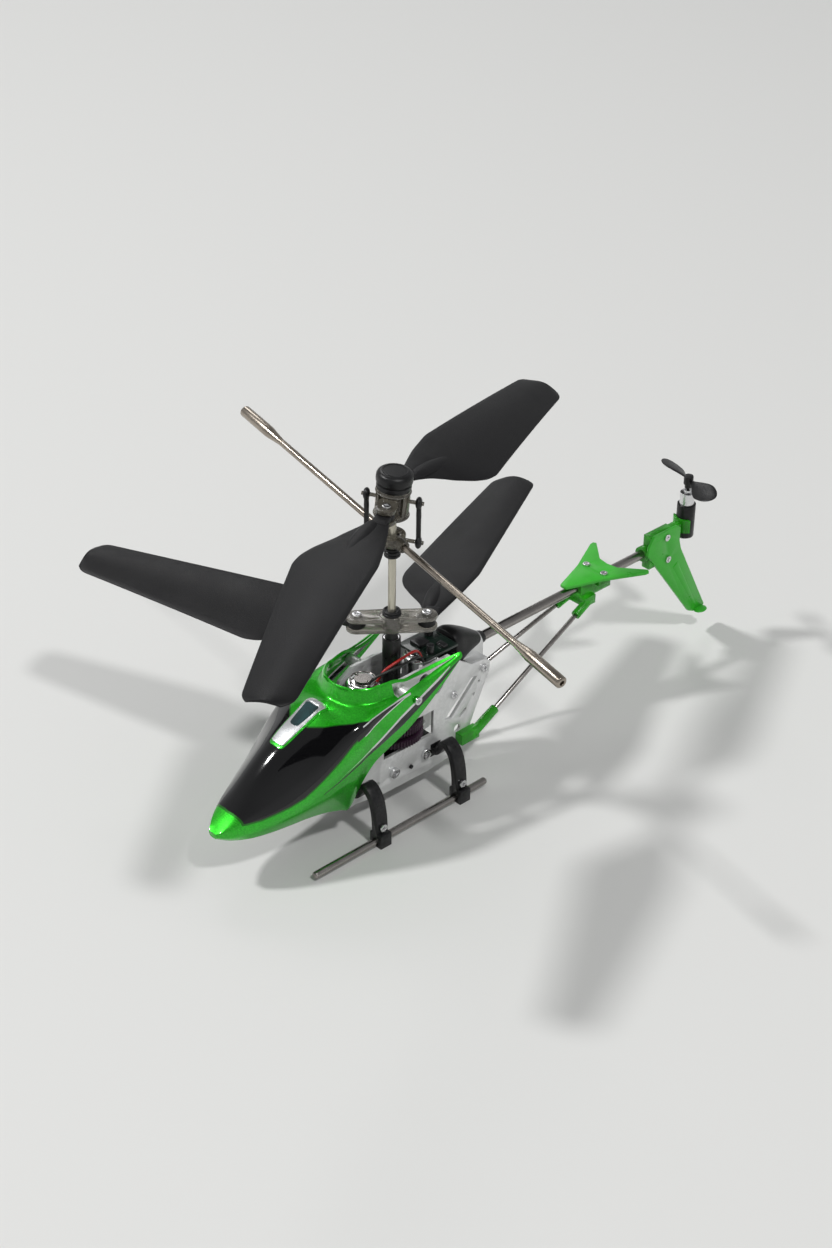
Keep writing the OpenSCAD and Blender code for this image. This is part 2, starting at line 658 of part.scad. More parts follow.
rod_dir = (rod_finish - rod_start) / norm(rod_finish - rod_start);
module rod_bracket() {
    color(leaf_green) difference() {
        union() {
            translate([plate_out, 18.6, 10.8]) cube([2.8, 7, 3.4]);
            rod(rod_start - 1.5 * rod_dir, rod_start + 9 * rod_dir, 1.5);
        }
        rod(rod_start, rod_start + 12 * rod_dir, rod_r);
        translate([plate_in - 1, 0, 0]) cube([plate_t + 1, 60, 60]);
    }
}
module left_rod_bracket() { mirror([1, 0, 0]) rod_bracket(); }
module right_rod_bracket() { rod_bracket(); }

module stabiliser_clamp() {
    color(leaf_green) difference() {
        union() {
            translate([-2.6, stabiliser_y, 33.2]) cube([5.2, 13, 5.2]);
            translate([-5, stabiliser_y + 5, 37.2]) cube([10, 7, 1.2]);
            translate([-4.4, stabiliser_y, 31.4]) cube([8.8, 4.6, 3]);
            for (side = [0, 1]) mirror([side, 0, 0])
                rod(rod_finish - 6 * rod_dir, rod_finish, 1.4);
        }
        translate([0, stabiliser_y - 10, boom_z]) rotate([-90, 0, 0]) cylinder(r = boom_r, h = 40);
        for (side = [0, 1]) mirror([side, 0, 0]) rod(rod_finish - 12 * rod_dir, rod_finish, rod_r);
        for (side = [-1, 1]) translate([side * 3.6, stabiliser_y + 8.6, 36]) cylinder(r = 0.6, h = 4);
    }
}
stabiliser_half = [[0, -5.4], [1.2, -5.2], [5.4, 6.6], [11.4, 18.6], [11.6, 20], [10.6, 20.6], [3.6, 14.6], [0, 14]];
module stabiliser() {
    color(leaf_green) difference() {
        translate([0, stabiliser_y, 38.4]) linear_extrude(fin_t)
            polygon(concat(stabiliser_half, [for (i = [len(stabiliser_half) - 2 : -1 : 1])
                [-stabiliser_half[i][0], stabiliser_half[i][1]]]));
        for (side = [-1, 1]) translate([side * 3.6, stabiliser_y + 8.6, 36]) cylinder(r = 0.6, h = 5);
    }
}

fin_x = 2;
fin_holes = [[112.6, 40.4], [113.8, 32.2]];
module fin_clamp() {
    color(leaf_green) difference() {
        union() {
            translate([0, 104.6, boom_z]) rotate([-90, 0, 0]) cylinder(r = boom_r + 1, h = 10);
            translate([-1, 106.4, 30.8]) cube([fin_x + 1, 10, 11.4]);
            translate([-1.4, 112, 38.6]) cube([2.8, tail_motor_y - 112, 2.6]);
            // The saddle that holds the sleeve from the front
            intersection() {
                translate([0, tail_motor_y, 38]) cylinder(r = sleeve_r + 0.9, h = 4.4);
                translate([-5, tail_motor_y - 6, 37]) cube([10, 4.4, 7]);
            }
        }
        translate([0, 100, boom_z]) rotate([-90, 0, 0]) cylinder(r = boom_r, h = boom_end - 100);
        translate([0, tail_motor_y, 30]) cylinder(r = sleeve_r, h = 20);
        translate([fin_x, 100, 20]) cube([3, 20, 30]);
        for (p = fin_holes) translate([-2, p[0], p[1]]) rotate([0, 90, 0]) cylinder(r = 0.6, h = 6);
        translate([-3, 108.4, 38.9]) cube([10, 1.8, 2.2]);
    }
}
module fin() {
    color(leaf_green) difference() {
        yz_plate(fin_x, fin_t) polygon([
            [104.6, 36.6], [126.2, 8], [128.6, 6.8], [133.2, 6.4], [133.8, 7.6], [120, 33.6],
            [119, 37], [119.2, 41.2], [117.6, 42.6], [107, 42.6], [104.8, 39.4],
        ]);
        for (p = fin_holes) translate([0, p[0], p[1]]) rotate([0, 90, 0]) cylinder(r = 0.6, h = 6);
    }
}
module tail_screws() {
    color(silver) {
        for (side = [-1, 1]) translate([side * 3.6, stabiliser_y + 8.6, 38.4 + fin_t])
            screw(2.2, 0.6, 0.6, 2.6);
        for (p = fin_holes) translate([fin_x + fin_t, p[0], p[1]]) rotate([0, 90, 0])
            screw(2.2, 0.6, 0.6, 2.6);
    }
}
sleeve_z = 35.6;
sleeve_h = 11.2;
tail_can_r = 2.3;
tail_can_h = 4;
module motor_sleeve() {
    color(plastic_black) translate([0, tail_motor_y, sleeve_z]) difference() {
        cylinder(r = sleeve_r, h = sleeve_h);
        translate([0, 0, 1.2]) cylinder(r = tail_can_r, h = sleeve_h);
    }
}
module tail_motor() {
    color(silver) translate([0, tail_motor_y, sleeve_z + 1.2]) difference() {
        union() {
            cylinder(r = tail_can_r, h = sleeve_h - 1.2 + tail_can_h);
            translate([0, 0, sleeve_h - 1.2 + tail_can_h]) cylinder(r = 1.1, h = 0.8);
        }
        translate([0, 0, 6]) cylinder(r = 0.4 + running_gap, h = 20);
    }
}
tail_dir = 163;
module tail_propeller() {
    color(plastic_black) translate([0, tail_motor_y, 0]) {
        translate([0, 0, tail_hub_z - 3]) cylinder(r = 1.5, h = 3);
        translate([0, 0, sleeve_z + 9]) cylinder(r = 0.4, h = tail_hub_z - sleeve_z - 11);
        for (turn = [0, 180]) rotate([0, 0, tail_dir + turn]) translate([0, 0, tail_hub_z - 1.5])
            rotate([24, 0, 0]) translate([0, 0, -0.35]) linear_extrude(0.7)
                polygon([[0.4, -0.9], [3, -1.6], [6, -3.2], [10, -3.7], [tail_prop_r - 1.2, -3],
                    [tail_prop_r, -1.2], [tail_prop_r, 1.2], [tail_prop_r - 1.2, 2.6], [10, 3.1],
                    [6, 2.8], [3, 1.5], [0.4, 0.9]]);
    }
}

// ---------------------------------------------------------------- blades

root_h2 = 1.1;
root_bore = 0.7;
fork_gap = root_h2 + running_gap;
trailing_edge = [[4, 2.4], [8, 4.6], [13, 8.6], [19, 13.4], [23, 15.4], [27, 16], [84, 7.4], [86, 5.8], [87, 3.6]];
leading_edge = [[4, 2.4], [8, 3.4], [16, 5.4], [26, 7], [83, 6], [85, 4.8], [86, 3.2], [87, 2]];
blade_stops = [4, 7, 10, 13, 16, 19, 23, 27, 34, 44, 54, 64, 74, 80, 83, 84.8, 86];
blade_columns = 7;
// A point on the blade's upper (face = 1) or lower (face = -1) skin
function blade_point(x, c, face, side, droop) =
    let (
        wide = blade_chord / 23,
        tip = tip_chord / 13.4,
        k = min(max((x - 27) / 57, 0), 1),
        scale = wide * (1 - k) + tip * k,
        te = lookup(x, trailing_edge) * scale,
        le = lookup(x, leading_edge) * scale,
        f = c / (blade_columns - 1),
        y = -le + (te + le) * f,
        pitch = blade_pitch * min(x / 14, 1) * (1 - 0.35 * k),
        camber = 0.9 * sin(180 * f) * min((x - 4) / 12, 1),
        t = blade_t / 2 * (0.35 + 0.65 * sin(180 * f)) * (x < 8 ? 1.6 - 0.6 * (x - 4) / 4 : 1),
        reach = x * blade_len / 86
    )
    [reach, side * y, -y * tan(pitch) + camber - droop * pow(x / 86, 1.6) + face * t];
module blade_skin(side, droop) {
    n = len(blade_stops);
    m = blade_columns;
    points = concat(
        [for (x = blade_stops, c = [0 : m - 1]) blade_point(x, c, 1, side, droop)],
        [for (x = blade_stops, c = [0 : m - 1]) blade_point(x, c, -1, side, droop)]);
    lower = n * m;
    quads = concat(
        [for (i = [0 : n - 2], c = [0 : m - 2]) let (a = i * m + c)
            [a, a + 1, a + 1 + m, a + m]],
        [for (i = [0 : n - 2], c = [0 : m - 2]) let (a = lower + i * m + c)
            [a, a + m, a + 1 + m, a + 1]],
        [for (i = [0 : n - 2]) let (a = i * m) [a, a + m, a + m + lower, a + lower]],
        [for (i = [0 : n - 2]) let (a = i * m + m - 1) [a + m, a, a + lower, a + m + lower]],
        [for (c = [0 : m - 2]) [c + 1, c, c + lower, c + 1 + lower]],
        [for (c = [0 : m - 2]) let (a = (n - 1) * m + c) [a, a + 1, a + 1 + lower, a + lower]]);
    faces = [for (q = quads) each (side > 0
        ? [[q[2], q[1], q[0]], [q[3], q[2], q[0]]]
        : [[q[0], q[1], q[2]], [q[0], q[2], q[3]]])];
    flipped = [for (f = faces) [f[2], f[1], f[0]]];
    polyhedron(points, flipped);
}
// A blade in its own frame: the screw's axis at the origin, the tip along +X
module blade(side, droop) {
    difference() {
        union() {
            translate([0, 0, -root_h2]) cylinder(r = 2.5, h = 2 * root_h2);
            translate([0, -2, -0.9]) cube([6.5, 4, 1.8]);
            blade_skin(side, droop);
        }
        translate([0, 0, -5]) cylinder(r = root_bore + running_gap, h = 10);
    }
}

// ---------------------------------------------------------------- lower rotor

module in_lower_rotor() {
    translate([0, 0, lower_rotor_z]) rotate([0, 0, lower_hub_dir]) children();
}
module outer_shaft() {
    color(plastic_black) translate([0, 0, outer_gear_z - 1])
        ring(outer_shaft_r, inner_shaft_r + running_gap, lower_rotor_z + 2.4 - outer_gear_z + 1);
}
module lower_hub() {
    color(smoke) in_lower_rotor() difference() {
        union() {
            for (z = [fork_gap, -fork_gap - 1]) translate([0, 0, z]) linear_extrude(1) {
                square([2 * lower_pivot, hub_w], center = true);
                for (x = [-lower_pivot, lower_pivot]) translate([x, 0]) circle(hub_w / 2);
            }
            translate([0, 0, -fork_gap - 1]) cylinder(r = 3.4, h = 2 * fork_gap + 2.3);
            translate([-4.6, -1.2, -fork_gap - 0.5]) cube([9.2, 2.4, 2 * fork_gap + 1]);
        }
        translate([0, 0, -5]) cylinder(r = outer_shaft_r, h = 10);
        for (x = [-lower_pivot, lower_pivot]) translate([x, 0, -5]) cylinder(r = root_bore, h = 10);
        for (side = [-1, 1], y = [-1.5, 1.5]) translate([side * 5.2 - 1.4, y - 0.3, fork_gap + 0.5])
            cube([2.8, 0.6, 1]);
    }
}
module lower_screws() {
    color(silver) in_lower_rotor() for (x = [-lower_pivot, lower_pivot])
        translate([x, 0, fork_gap + 1]) screw(2.6, 0.8, root_bore, 2 * fork_gap + 1.8);
}
module lower_blade(end, swing) {
    color(plastic_black) in_lower_rotor() translate([end * lower_pivot, 0, 0])
        rotate([0, 0, (end > 0 ? 0 : 180) + swing]) blade(1, lower_droop);
}
module lower_blade_a() { lower_blade(1, lower_swing_a); }
module lower_blade_b() { lower_blade(-1, lower_swing_b); }

// ---------------------------------------------------------------- upper rotor

pin_r = 0.5;
link_pin_r = 0.55;
link_slack = 0.3;
shaft_top = head_z + 2;
module inner_shaft() {
    color([0.85, 0.84, 0.78]) difference() {
        translate([0, 0, 14.4]) cylinder(r = inner_shaft_r, h = shaft_top - 14.4);
        translate([0, 0, flybar_z]) rotate([0, 0, flybar_dir - 90]) rotate([0, 90, 0])
            cylinder(r = pin_r, h = 6, center = true);
        translate([0, 0, head_z]) rotate([0, 0, head_dir]) rotate([0, 90, 0])
            cylinder(r = pin_r, h = 6, center = true);
    }
}
// The two cross pins that the flybar and the head rock on
module head_pin() {
    color(silver) {
        translate([0, 0, flybar_z]) rotate([0, 0, flybar_dir - 90]) rotate([0, 90, 0])
            cylinder(r = pin_r, h = 5.6, center = true);
        translate([0, 0, head_z]) rotate([0, 0, head_dir]) rotate([0, 90, 0])
            cylinder(r = pin_r, h = 8.4, center = true);
    }
}
module in_head() {
    translate([0, 0, head_z]) rotate([0, 0, head_dir]) rotate([head_tilt, 0, 0]) children();
}
head_r = 4.7;
head_hollow = 2.7;
head_drop = 5;
head_rise = 4.6;
module rotor_head() {
    color(smoke) in_head() difference() {
        union() {
            translate([0, 0, -head_drop]) cylinder(r = head_r, h = head_drop + head_rise);
            for (z = [fork_gap, -fork_gap - 1.1]) translate([0, 0, z]) linear_extrude(1.1) {
                square([2 * upper_pivot, 5.6], center = true);
                for (x = [-upper_pivot, upper_pivot]) translate([x, 0]) circle(2.8);
            }
            rotate([90, 0, 0]) cylinder(r = link_pin_r, h = 2 * (link_reach + 1.4), center = true);
        }
        translate([0, 0, -head_drop - 1]) cylinder(r = head_hollow, h = head_drop + 4.2);
        rotate([0, 90, 0]) cylinder(r = pin_r + running_gap, h = 8.8, center = true);
        for (x = [-upper_pivot, upper_pivot]) translate([x, 0, -5]) cylinder(r = root_bore, h = 10);
        for (turn = [35, 145, 215, 325]) rotate([0, 0, turn]) translate([3.2, -1, -3.6])
            cube([3, 2, 6.6]);
    }
}
module head_cap() {
    color(plastic_black) in_head() difference() {
        union() {
            translate([0, 0, head_rise]) cylinder(r = cap_r, h = cap_h - 1.2);
            translate([0, 0, head_rise + cap_h - 1.2]) cylinder(r1 = cap_r, r2 = cap_r - 1.4, h = 1.2);
        }
        for (turn = [0 : 30 : 330]) rotate([0, 0, turn]) translate([cap_r + 0.25, 0, head_rise - 1])
            cylinder(r = 0.5, h = cap_h - 0.2, $fn = 24);
    }
}
module head_screws() {
    color(silver) in_head() for (x = [-upper_pivot, upper_pivot])
        translate([x, 0, fork_gap + 1.1]) screw(2.4, 0.7, root_bore, 2 * fork_gap + 2);
}
module upper_blade(end, swing) {
    color(plastic_black) in_head() translate([end * upper_pivot, 0, 0])
        rotate([0, 0, (end > 0 ? 0 : 180) + swing]) blade(-1, upper_droop);
}
module upper_blade_a() { upper_blade(1, upper_swing_a); }
module upper_blade_b() { upper_blade(-1, upper_swing_b); }

module in_flybar() {
    translate([0, 0, flybar_z]) rotate([0, 0, flybar_dir]) rotate([0, -flybar_tilt, 0]) children();
}
// The link pins stand square to the head, not to the flybar.
link_turn = head_dir + 90 - flybar_dir;
module flybar_hub() {
    color(smoke) in_flybar() difference() {
        union() {
            translate([0, 0, -1.4]) cylinder(r = 3.6, h = 2.8);
            rotate([0, 90, 0]) cylinder(r = 1.7, h = 11, center = true);
            rotate([0, 0, link_turn]) rotate([0, 90, 0])
                cylinder(r = link_pin_r, h = 2 * (link_reach + 1.4), center = true);
        }
        translate([0, 0, -5]) cylinder(r = 2, h = 10);
        rotate([90, 0, 0]) cylinder(r = pin_r + running_gap, h = 6, center = true);
        for (side = [-1, 1]) rotate([0, side * 90, 0]) translate([0, 0, 2.8])
            cylinder(r = flybar_r, h = 10);
    }
}
module flybar() {
    straight = flybar_reach - weight_len - 6;
    color([0.62, 0.58, 0.50]) in_flybar() for (side = [-1, 1]) rotate([0, side * 90, 0]) difference() {
        union() {
            translate([0, 0, 2.8]) cylinder(r = flybar_r, h = straight - 2.8);
            translate([0, 0, straight]) cylinder(r1 = flybar_r, r2 = weight_r, h = 6);
            translate([0, 0, straight + 6]) cylinder(r = weight_r, h = weight_len - 0.4);
            translate([0, 0, flybar_reach - 0.4]) cylinder(r1 = weight_r, r2 = weight_r - 0.4, h = 0.4);
        }
        translate([0, 0, flybar_reach - 2]) cylinder(r = flybar_r * 0.7, h = 3);
    }
}
// A link between a flybar pin and a head pin, standing beside the mast
module link(side) {
    rise = side * link_reach * sin(flybar_tilt) * cos(link_turn);
    color(plastic_black) rotate([0, 0, head_dir + side * 90])
        translate([side * 0 + link_reach, 0, 0]) difference() {
            union() {
                for (z = [flybar_z, head_z]) translate([0, 0, z + rise]) rotate([0, 90, 0])
                    cylinder(r = 1.5, h = 1.2, center = true);
                translate([-0.6, -0.6, flybar_z + rise]) cube([1.2, 1.2, head_z - flybar_z]);
            }
            for (z = [flybar_z, head_z]) translate([0, 0, z + rise]) rotate([0, 90, 0])
                cylinder(r = link_pin_r + link_slack, h = 4, center = true);
        }
}
module left_link() { link(1); }
module right_link() { link(-1); }

left_side_plate();
right_side_plate();
lower_bridge();
frame_screws();
motor_deck();
shaft_bearings();
front_motor();
rear_motor();
front_pinion();
rear_pinion();
battery_tray();
battery();
circuit_board();
board_components();
switch_block();
switch_knob();
charge_socket();
nose_light();
motor_wires();
canopy();
canopy_posts();
canopy_screws();
left_skid();
right_skid();
front_leg();
rear_leg();
skid_screws();
boom_clamp();
boom_cover();
tail_boom();
left_support_rod();
right_support_rod();
left_rod_bracket();
right_rod_bracket();
stabiliser_clamp();
stabiliser();
fin_clamp();
fin();
tail_screws();
motor_sleeve();
tail_motor();
tail_propeller();
inner_shaft();
inner_gear();
head_pin();
rotor_head();
head_cap();
head_screws();
upper_blade_a();
upper_blade_b();
flybar_hub();
flybar();
left_link();
right_link();
outer_shaft();
outer_gear();
lower_hub();
lower_screws();
lower_blade_a();
lower_blade_b();
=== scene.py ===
# %% [markdown]
# # A small coaxial helicopter
# This lesson dresses a finished frame: a palm-size helicopter with two rotors on one mast.
# The frame holds every part at its real size, so each new piece takes its place from it.
# Several new pieces are compared with the box of the solid they replace, so that the model does not
# grow.

# %% Load the frame
import json
import math
import bpy
from mathutils import Matrix, Vector
from mathutils.bvhtree import BVHTree


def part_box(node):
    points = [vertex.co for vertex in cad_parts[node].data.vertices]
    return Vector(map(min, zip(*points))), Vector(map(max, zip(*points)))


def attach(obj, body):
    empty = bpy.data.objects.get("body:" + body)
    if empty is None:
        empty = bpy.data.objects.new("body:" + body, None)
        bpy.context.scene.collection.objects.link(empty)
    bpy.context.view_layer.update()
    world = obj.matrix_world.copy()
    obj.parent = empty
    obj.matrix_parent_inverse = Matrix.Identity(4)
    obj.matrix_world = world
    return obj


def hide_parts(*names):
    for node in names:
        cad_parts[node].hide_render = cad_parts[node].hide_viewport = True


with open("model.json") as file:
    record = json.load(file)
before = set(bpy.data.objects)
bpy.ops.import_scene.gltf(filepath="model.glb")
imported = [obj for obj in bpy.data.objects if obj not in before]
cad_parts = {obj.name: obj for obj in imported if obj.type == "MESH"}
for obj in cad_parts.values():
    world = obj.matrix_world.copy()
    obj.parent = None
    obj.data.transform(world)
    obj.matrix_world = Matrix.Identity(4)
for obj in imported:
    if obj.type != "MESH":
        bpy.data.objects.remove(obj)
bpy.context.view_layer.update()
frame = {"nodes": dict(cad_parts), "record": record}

MM = 0.001

# %% [markdown]
# ## The camera
# A model on a table is usually seen from above one shoulder. The camera is placed by the
# direction it looks in, a small roll, and its distance, all measured from the middle of the model.

# %% Camera
AZIMUTH, ELEVATION, ROLL = map(math.radians, (46.29, 32.64, 0.84))
back = Vector((math.sin(AZIMUTH) * math.cos(ELEVATION),
               -math.cos(AZIMUTH) * math.cos(ELEVATION), math.sin(ELEVATION)))
right = Vector((math.cos(AZIMUTH), math.sin(AZIMUTH), 0))
up = back.cross(right)
cam_right = math.cos(ROLL) * right + math.sin(ROLL) * up
cam_up = -math.sin(ROLL) * right + math.cos(ROLL) * up
aim = Vector((0, 20, 45)) * MM
SIDEWAYS, RAISED, DISTANCE = -7.69, 1.85, 674.38  # of the camera from the aim, in millimetres
eye = aim + (SIDEWAYS * cam_right + RAISED * cam_up + DISTANCE * back) * MM
camera = bpy.data.objects.new("Camera", bpy.data.cameras.new("Camera"))
bpy.context.scene.collection.objects.link(camera)
axes = Matrix((cam_right, cam_up, back)).transposed().to_4x4()
camera.matrix_world = Matrix.Translation(eye) @ axes
camera.data.lens = 68.4
camera.data.clip_start, camera.data.clip_end = 0.01, 20  # metres
bpy.context.scene.camera = camera
print("camera at", [round(c, 3) for c in eye])

# %% [markdown]
# ## Floor and light
# A pale floor, a lamp from behind on the left and a weaker one from the right give two sets of
# shadows. The lamps are small enough to draw a blade's outline on the floor. The sky is pale at
# the horizon and darker overhead, so that glossy black stays black and still has a bright rim.

# %% Floor, lamps and world
def deselect_all():
    """Operators act on all that is selected, so each piece starts from nothing."""
    if bpy.context.mode != "OBJECT":
        bpy.ops.object.mode_set(mode="OBJECT")
    bpy.ops.object.select_all(action="DESELECT")


def area_lamp(name, azimuth, elevation, distance, size, watts):
    """A soft lamp that looks at the model; angles are in degrees, lengths in metres."""
    a, e = math.radians(azimuth), math.radians(elevation)
    towards = Vector((math.cos(a) * math.cos(e), math.sin(a) * math.cos(e), math.sin(e)))
    data = bpy.data.lights.new(name, "AREA")
    data.shape, data.size, data.energy = "DISK", size, watts
    lamp = bpy.data.objects.new(name, data)
    bpy.context.scene.collection.objects.link(lamp)
    lamp.location = aim + towards * distance
    lamp.rotation_euler = towards.to_track_quat("Z", "Y").to_euler()
    return lamp


LAMP_DISTANCE = 2.4
area_lamp("lamp_left", 222, 50, LAMP_DISTANCE, 0.24, 30.5)
area_lamp("lamp_right", -8, 58, LAMP_DISTANCE, 0.24, 19.5)
area_lamp("lamp_back", 150, 40, LAMP_DISTANCE, 0.7, 5.0)

world = bpy.data.worlds.new("World")
bpy.context.scene.world = world
world.use_nodes = True
sky = world.node_tree
heights = sky.nodes.new("ShaderNodeSeparateXYZ")
sky.links.new(sky.nodes.new("ShaderNodeTexCoord").outputs["Generated"], heights.inputs[0])
overhead = sky.nodes.new("ShaderNodeMapRange")
for socket, value in (("From Min", 0.05), ("From Max", 0.85), ("To Min", 0.54), ("To Max", 0.25)):
    overhead.inputs[socket].default_value = value
sky.links.new(heights.outputs["Z"], overhead.inputs["Value"])
sky.links.new(overhead.outputs["Result"], sky.nodes["Background"].inputs["Strength"])
sky.nodes["Background"].inputs["Color"].default_value = (0.92, 0.93, 0.94, 1)

deselect_all()
bpy.ops.mesh.primitive_plane_add(size=8, location=(0, 0, 0))
floor = bpy.context.object
floor.name = "floor"
floor_finish = bpy.data.materials.new("floor_finish")
floor_finish.use_nodes = True
floor_shader = floor_finish.node_tree.nodes["Principled BSDF"]
floor_shader.inputs["Base Color"].default_value = (0.715, 0.715, 0.70, 1)
floor_shader.inputs["Roughness"].default_value = 0.6
floor_shader.inputs["Specular IOR Level"].default_value = 0.2
floor.data.materials.append(floor_finish)
bpy.context.scene.view_settings.view_transform = "Standard"
print("lamps and floor ready")

# %% [markdown]
# ## Effects that several finishes share
# Moulded plastic has a fine grain, handled metal has faint hairlines, and every part gathers
# slightly different roughness over its surface. Each effect is one node group with named inputs.
# It puts out only a mask and a height, so the shader itself stays in each material.

# %% Shared node groups
def new_group(name, inputs, outputs):
    """An empty shader group with float inputs (name, default) and float outputs."""
    group = bpy.data.node_groups.new(name, "ShaderNodeTree")
    for socket, value in inputs:
        made = group.interface.new_socket(socket, in_out="INPUT", socket_type="NodeSocketFloat")
        made.default_value = value
    for socket in outputs:
        group.interface.new_socket(socket, in_out="OUTPUT", socket_type="NodeSocketFloat")
    return group, group.nodes.new("NodeGroupInput"), group.nodes.new("NodeGroupOutput")


def wire(tree, source, target):
    tree.links.new(source, target)


def math_node(tree, operation, a, b=None, c=None, clamp=False):
    """A Math node whose inputs are numbers or sockets; gives its output socket."""
    node = tree.nodes.new("ShaderNodeMath")
    node.operation, node.use_clamp = operation, clamp
    for slot, value in enumerate((a, b, c)):
        if value is None:
            continue
        if isinstance(value, (int, float)):
            node.inputs[slot].default_value = value
        else:
            wire(tree, value, node.inputs[slot])
    return node.outputs[0]


def noise_node(tree, vector, scale, detail=3, roughness=0.5):
    node = tree.nodes.new("ShaderNodeTexNoise")
    node.inputs["Detail"].default_value = detail
    node.inputs["Roughness"].default_value = roughness
    if isinstance(scale, (int, float)):
        node.inputs["Scale"].default_value = scale
    else:
        wire(tree, scale, node.inputs["Scale"])
    wire(tree, vector, node.inputs["Vector"])
    return node.outputs["Fac"]


def scaled_coordinates(tree, scale=(1, 1, 1), rotation=(0, 0, 0)):
    """Object coordinates, stretched and turned."""
    place = tree.nodes.new("ShaderNodeMapping")
    place.inputs["Scale"].default_value = scale
    place.inputs["Rotation"].default_value = rotation
    wire(tree, tree.nodes.new("ShaderNodeTexCoord").outputs["Object"], place.inputs["Vector"])
    return place.outputs["Vector"]


grain, grain_in, grain_out = new_group("moulded_grain",
                                       [("Grain Scale", 4000), ("Patch Scale", 120)],
                                       ["Height", "Patches"])
here = scaled_coordinates(grain)
wire(grain, noise_node(grain, here, grain_in.outputs["Grain Scale"], 2, 0.6),
     grain_out.inputs["Height"])
wire(grain, noise_node(grain, here, grain_in.outputs["Patch Scale"], 4, 0.6),
     grain_out.inputs["Patches"])

hairlines, hair_in, hair_out = new_group("hairlines",
                                         [("Line Scale", 900), ("Patch Scale", 150)],
                                         ["Height", "Patches"])
long_lines = scaled_coordinates(hairlines, (1, 0.06, 1), (0.2, 0.1, 0.3))
cross_lines = scaled_coordinates(hairlines, (1, 1, 0.05), (0.1, 0.6, 0))
both = math_node(hairlines, "MULTIPLY",
                 noise_node(hairlines, long_lines, hair_in.outputs["Line Scale"], 3, 0.7),
                 noise_node(hairlines, cross_lines, hair_in.outputs["Line Scale"], 3, 0.7))
wire(hairlines, both, hair_out.inputs["Height"])
patch_scale = hair_in.outputs["Patch Scale"]
wire(hairlines, noise_node(hairlines, scaled_coordinates(hairlines), patch_scale, 5, 0.65),
     hair_out.inputs["Patches"])

wear, wear_in, wear_out = new_group("edge_wear", [("Amount", 1)], ["Mask"])
EDGE_START, EDGE_GAIN = 0.52, 9
SPECK_START, SPECK_GAIN = 0.42, 5
point = wear.nodes.new("ShaderNodeNewGeometry").outputs["Pointiness"]
sharp = math_node(wear, "MULTIPLY", math_node(wear, "SUBTRACT", point, EDGE_START), EDGE_GAIN,
                  clamp=True)
specks = noise_node(wear, scaled_coordinates(wear), 900, 4, 0.7)
speckle = math_node(wear, "MULTIPLY", math_node(wear, "SUBTRACT", specks, SPECK_START),
                    SPECK_GAIN, clamp=True)
worn_edges = math_node(wear, "MULTIPLY", sharp, speckle)
wire(wear, math_node(wear, "MULTIPLY", worn_edges, wear_in.outputs["Amount"]),
     wear_out.inputs["Mask"])
print("shared effects:", [group.name for group in bpy.data.node_groups])

# %% [markdown]
# ## Finishes
# A finish is one Principled shader. What is the same everywhere is typed on its own sockets.
# The group's patches shift the colour and the roughness a little, its height gives the bump,
# and worn edges show a lighter colour where the real part has been handled.

# %% The finish maker
def ramp(tree, value, low, high):
    """Stretch a 0 to 1 value between two numbers."""
    node = tree.nodes.new("ShaderNodeMapRange")
    for socket, edge in (("From Min", 0.3), ("From Max", 0.7), ("To Min", low), ("To Max", high)):
        node.inputs[socket].default_value = edge
    wire(tree, value, node.inputs["Value"])
    return node.outputs["Result"]


def mix_colour(tree, factor, first, second):
    """Two colours mixed by a mask; each is four numbers or a socket."""
    node = tree.nodes.new("ShaderNodeMix")
    node.data_type = "RGBA"
    if isinstance(factor, (int, float)):
        node.inputs["Factor"].default_value = factor
    else:
        wire(tree, factor, node.inputs["Factor"])
    for name, value in (("A", first), ("B", second)):
        socket = [s for s in node.inputs if s.name == name and s.type == "RGBA"][0]
        if isinstance(value, (tuple, list)):
            socket.default_value = (*value[:3], 1)
        else:
            wire(tree, value, socket)
    return [s for s in node.outputs if s.type == "RGBA"][0]


def place_group(tree, group, **values):
    node = tree.nodes.new("ShaderNodeGroup")
    node.node_tree = group
    for name, value in values.items():
        node.inputs[name.replace("_", " ")].default_value = value
    return node


def shade(colour, factor):
    return tuple(min(c * factor, 1) for c in colour)


def finish(name, colour, rough, metallic=0.0, effect=grain, scales=None, bump=0.02, spread=0.12,
           tint=0.12, worn=None, **sockets):
    """A Principled material: roughness rough +- spread, colour +- tint, bump in millimetres,
    and worn=(colour, amount) at its edges. Other sockets are typed as they are."""
    material = bpy.data.materials.new(name)
    material.use_nodes = True
    tree = material.node_tree
    shader = tree.nodes["Principled BSDF"]
    shader.inputs["Metallic"].default_value = metallic
    for socket, value in sockets.items():
        shader.inputs[socket.replace("_", " ")].default_value = value
    marks = place_group(tree, effect, **(scales or {}))
    patches = marks.outputs["Patches"]
    base = mix_colour(tree, ramp(tree, patches, 0, 1), shade(colour, 1 - tint),
                      shade(colour, 1 + tint))
    if worn:
        mask = place_group(tree, wear, Amount=worn[1]).outputs["Mask"]
        base = mix_colour(tree, mask, base, worn[0])
    wire(tree, base, shader.inputs["Base Color"])
    wire(tree, ramp(tree, patches, max(rough - spread, 0.02), rough + spread),
         shader.inputs["Roughness"])
    if bump:
        ridge = tree.nodes.new("ShaderNodeBump")
        ridge.inputs["Distance"].default_value = bump * MM
        ridge.inputs["Strength"].default_value = 0.6
        wire(tree, marks.outputs["Height"], ridge.inputs["Height"])
        wire(tree, ridge.outputs["Normal"], shader.inputs["Normal"])
    return material


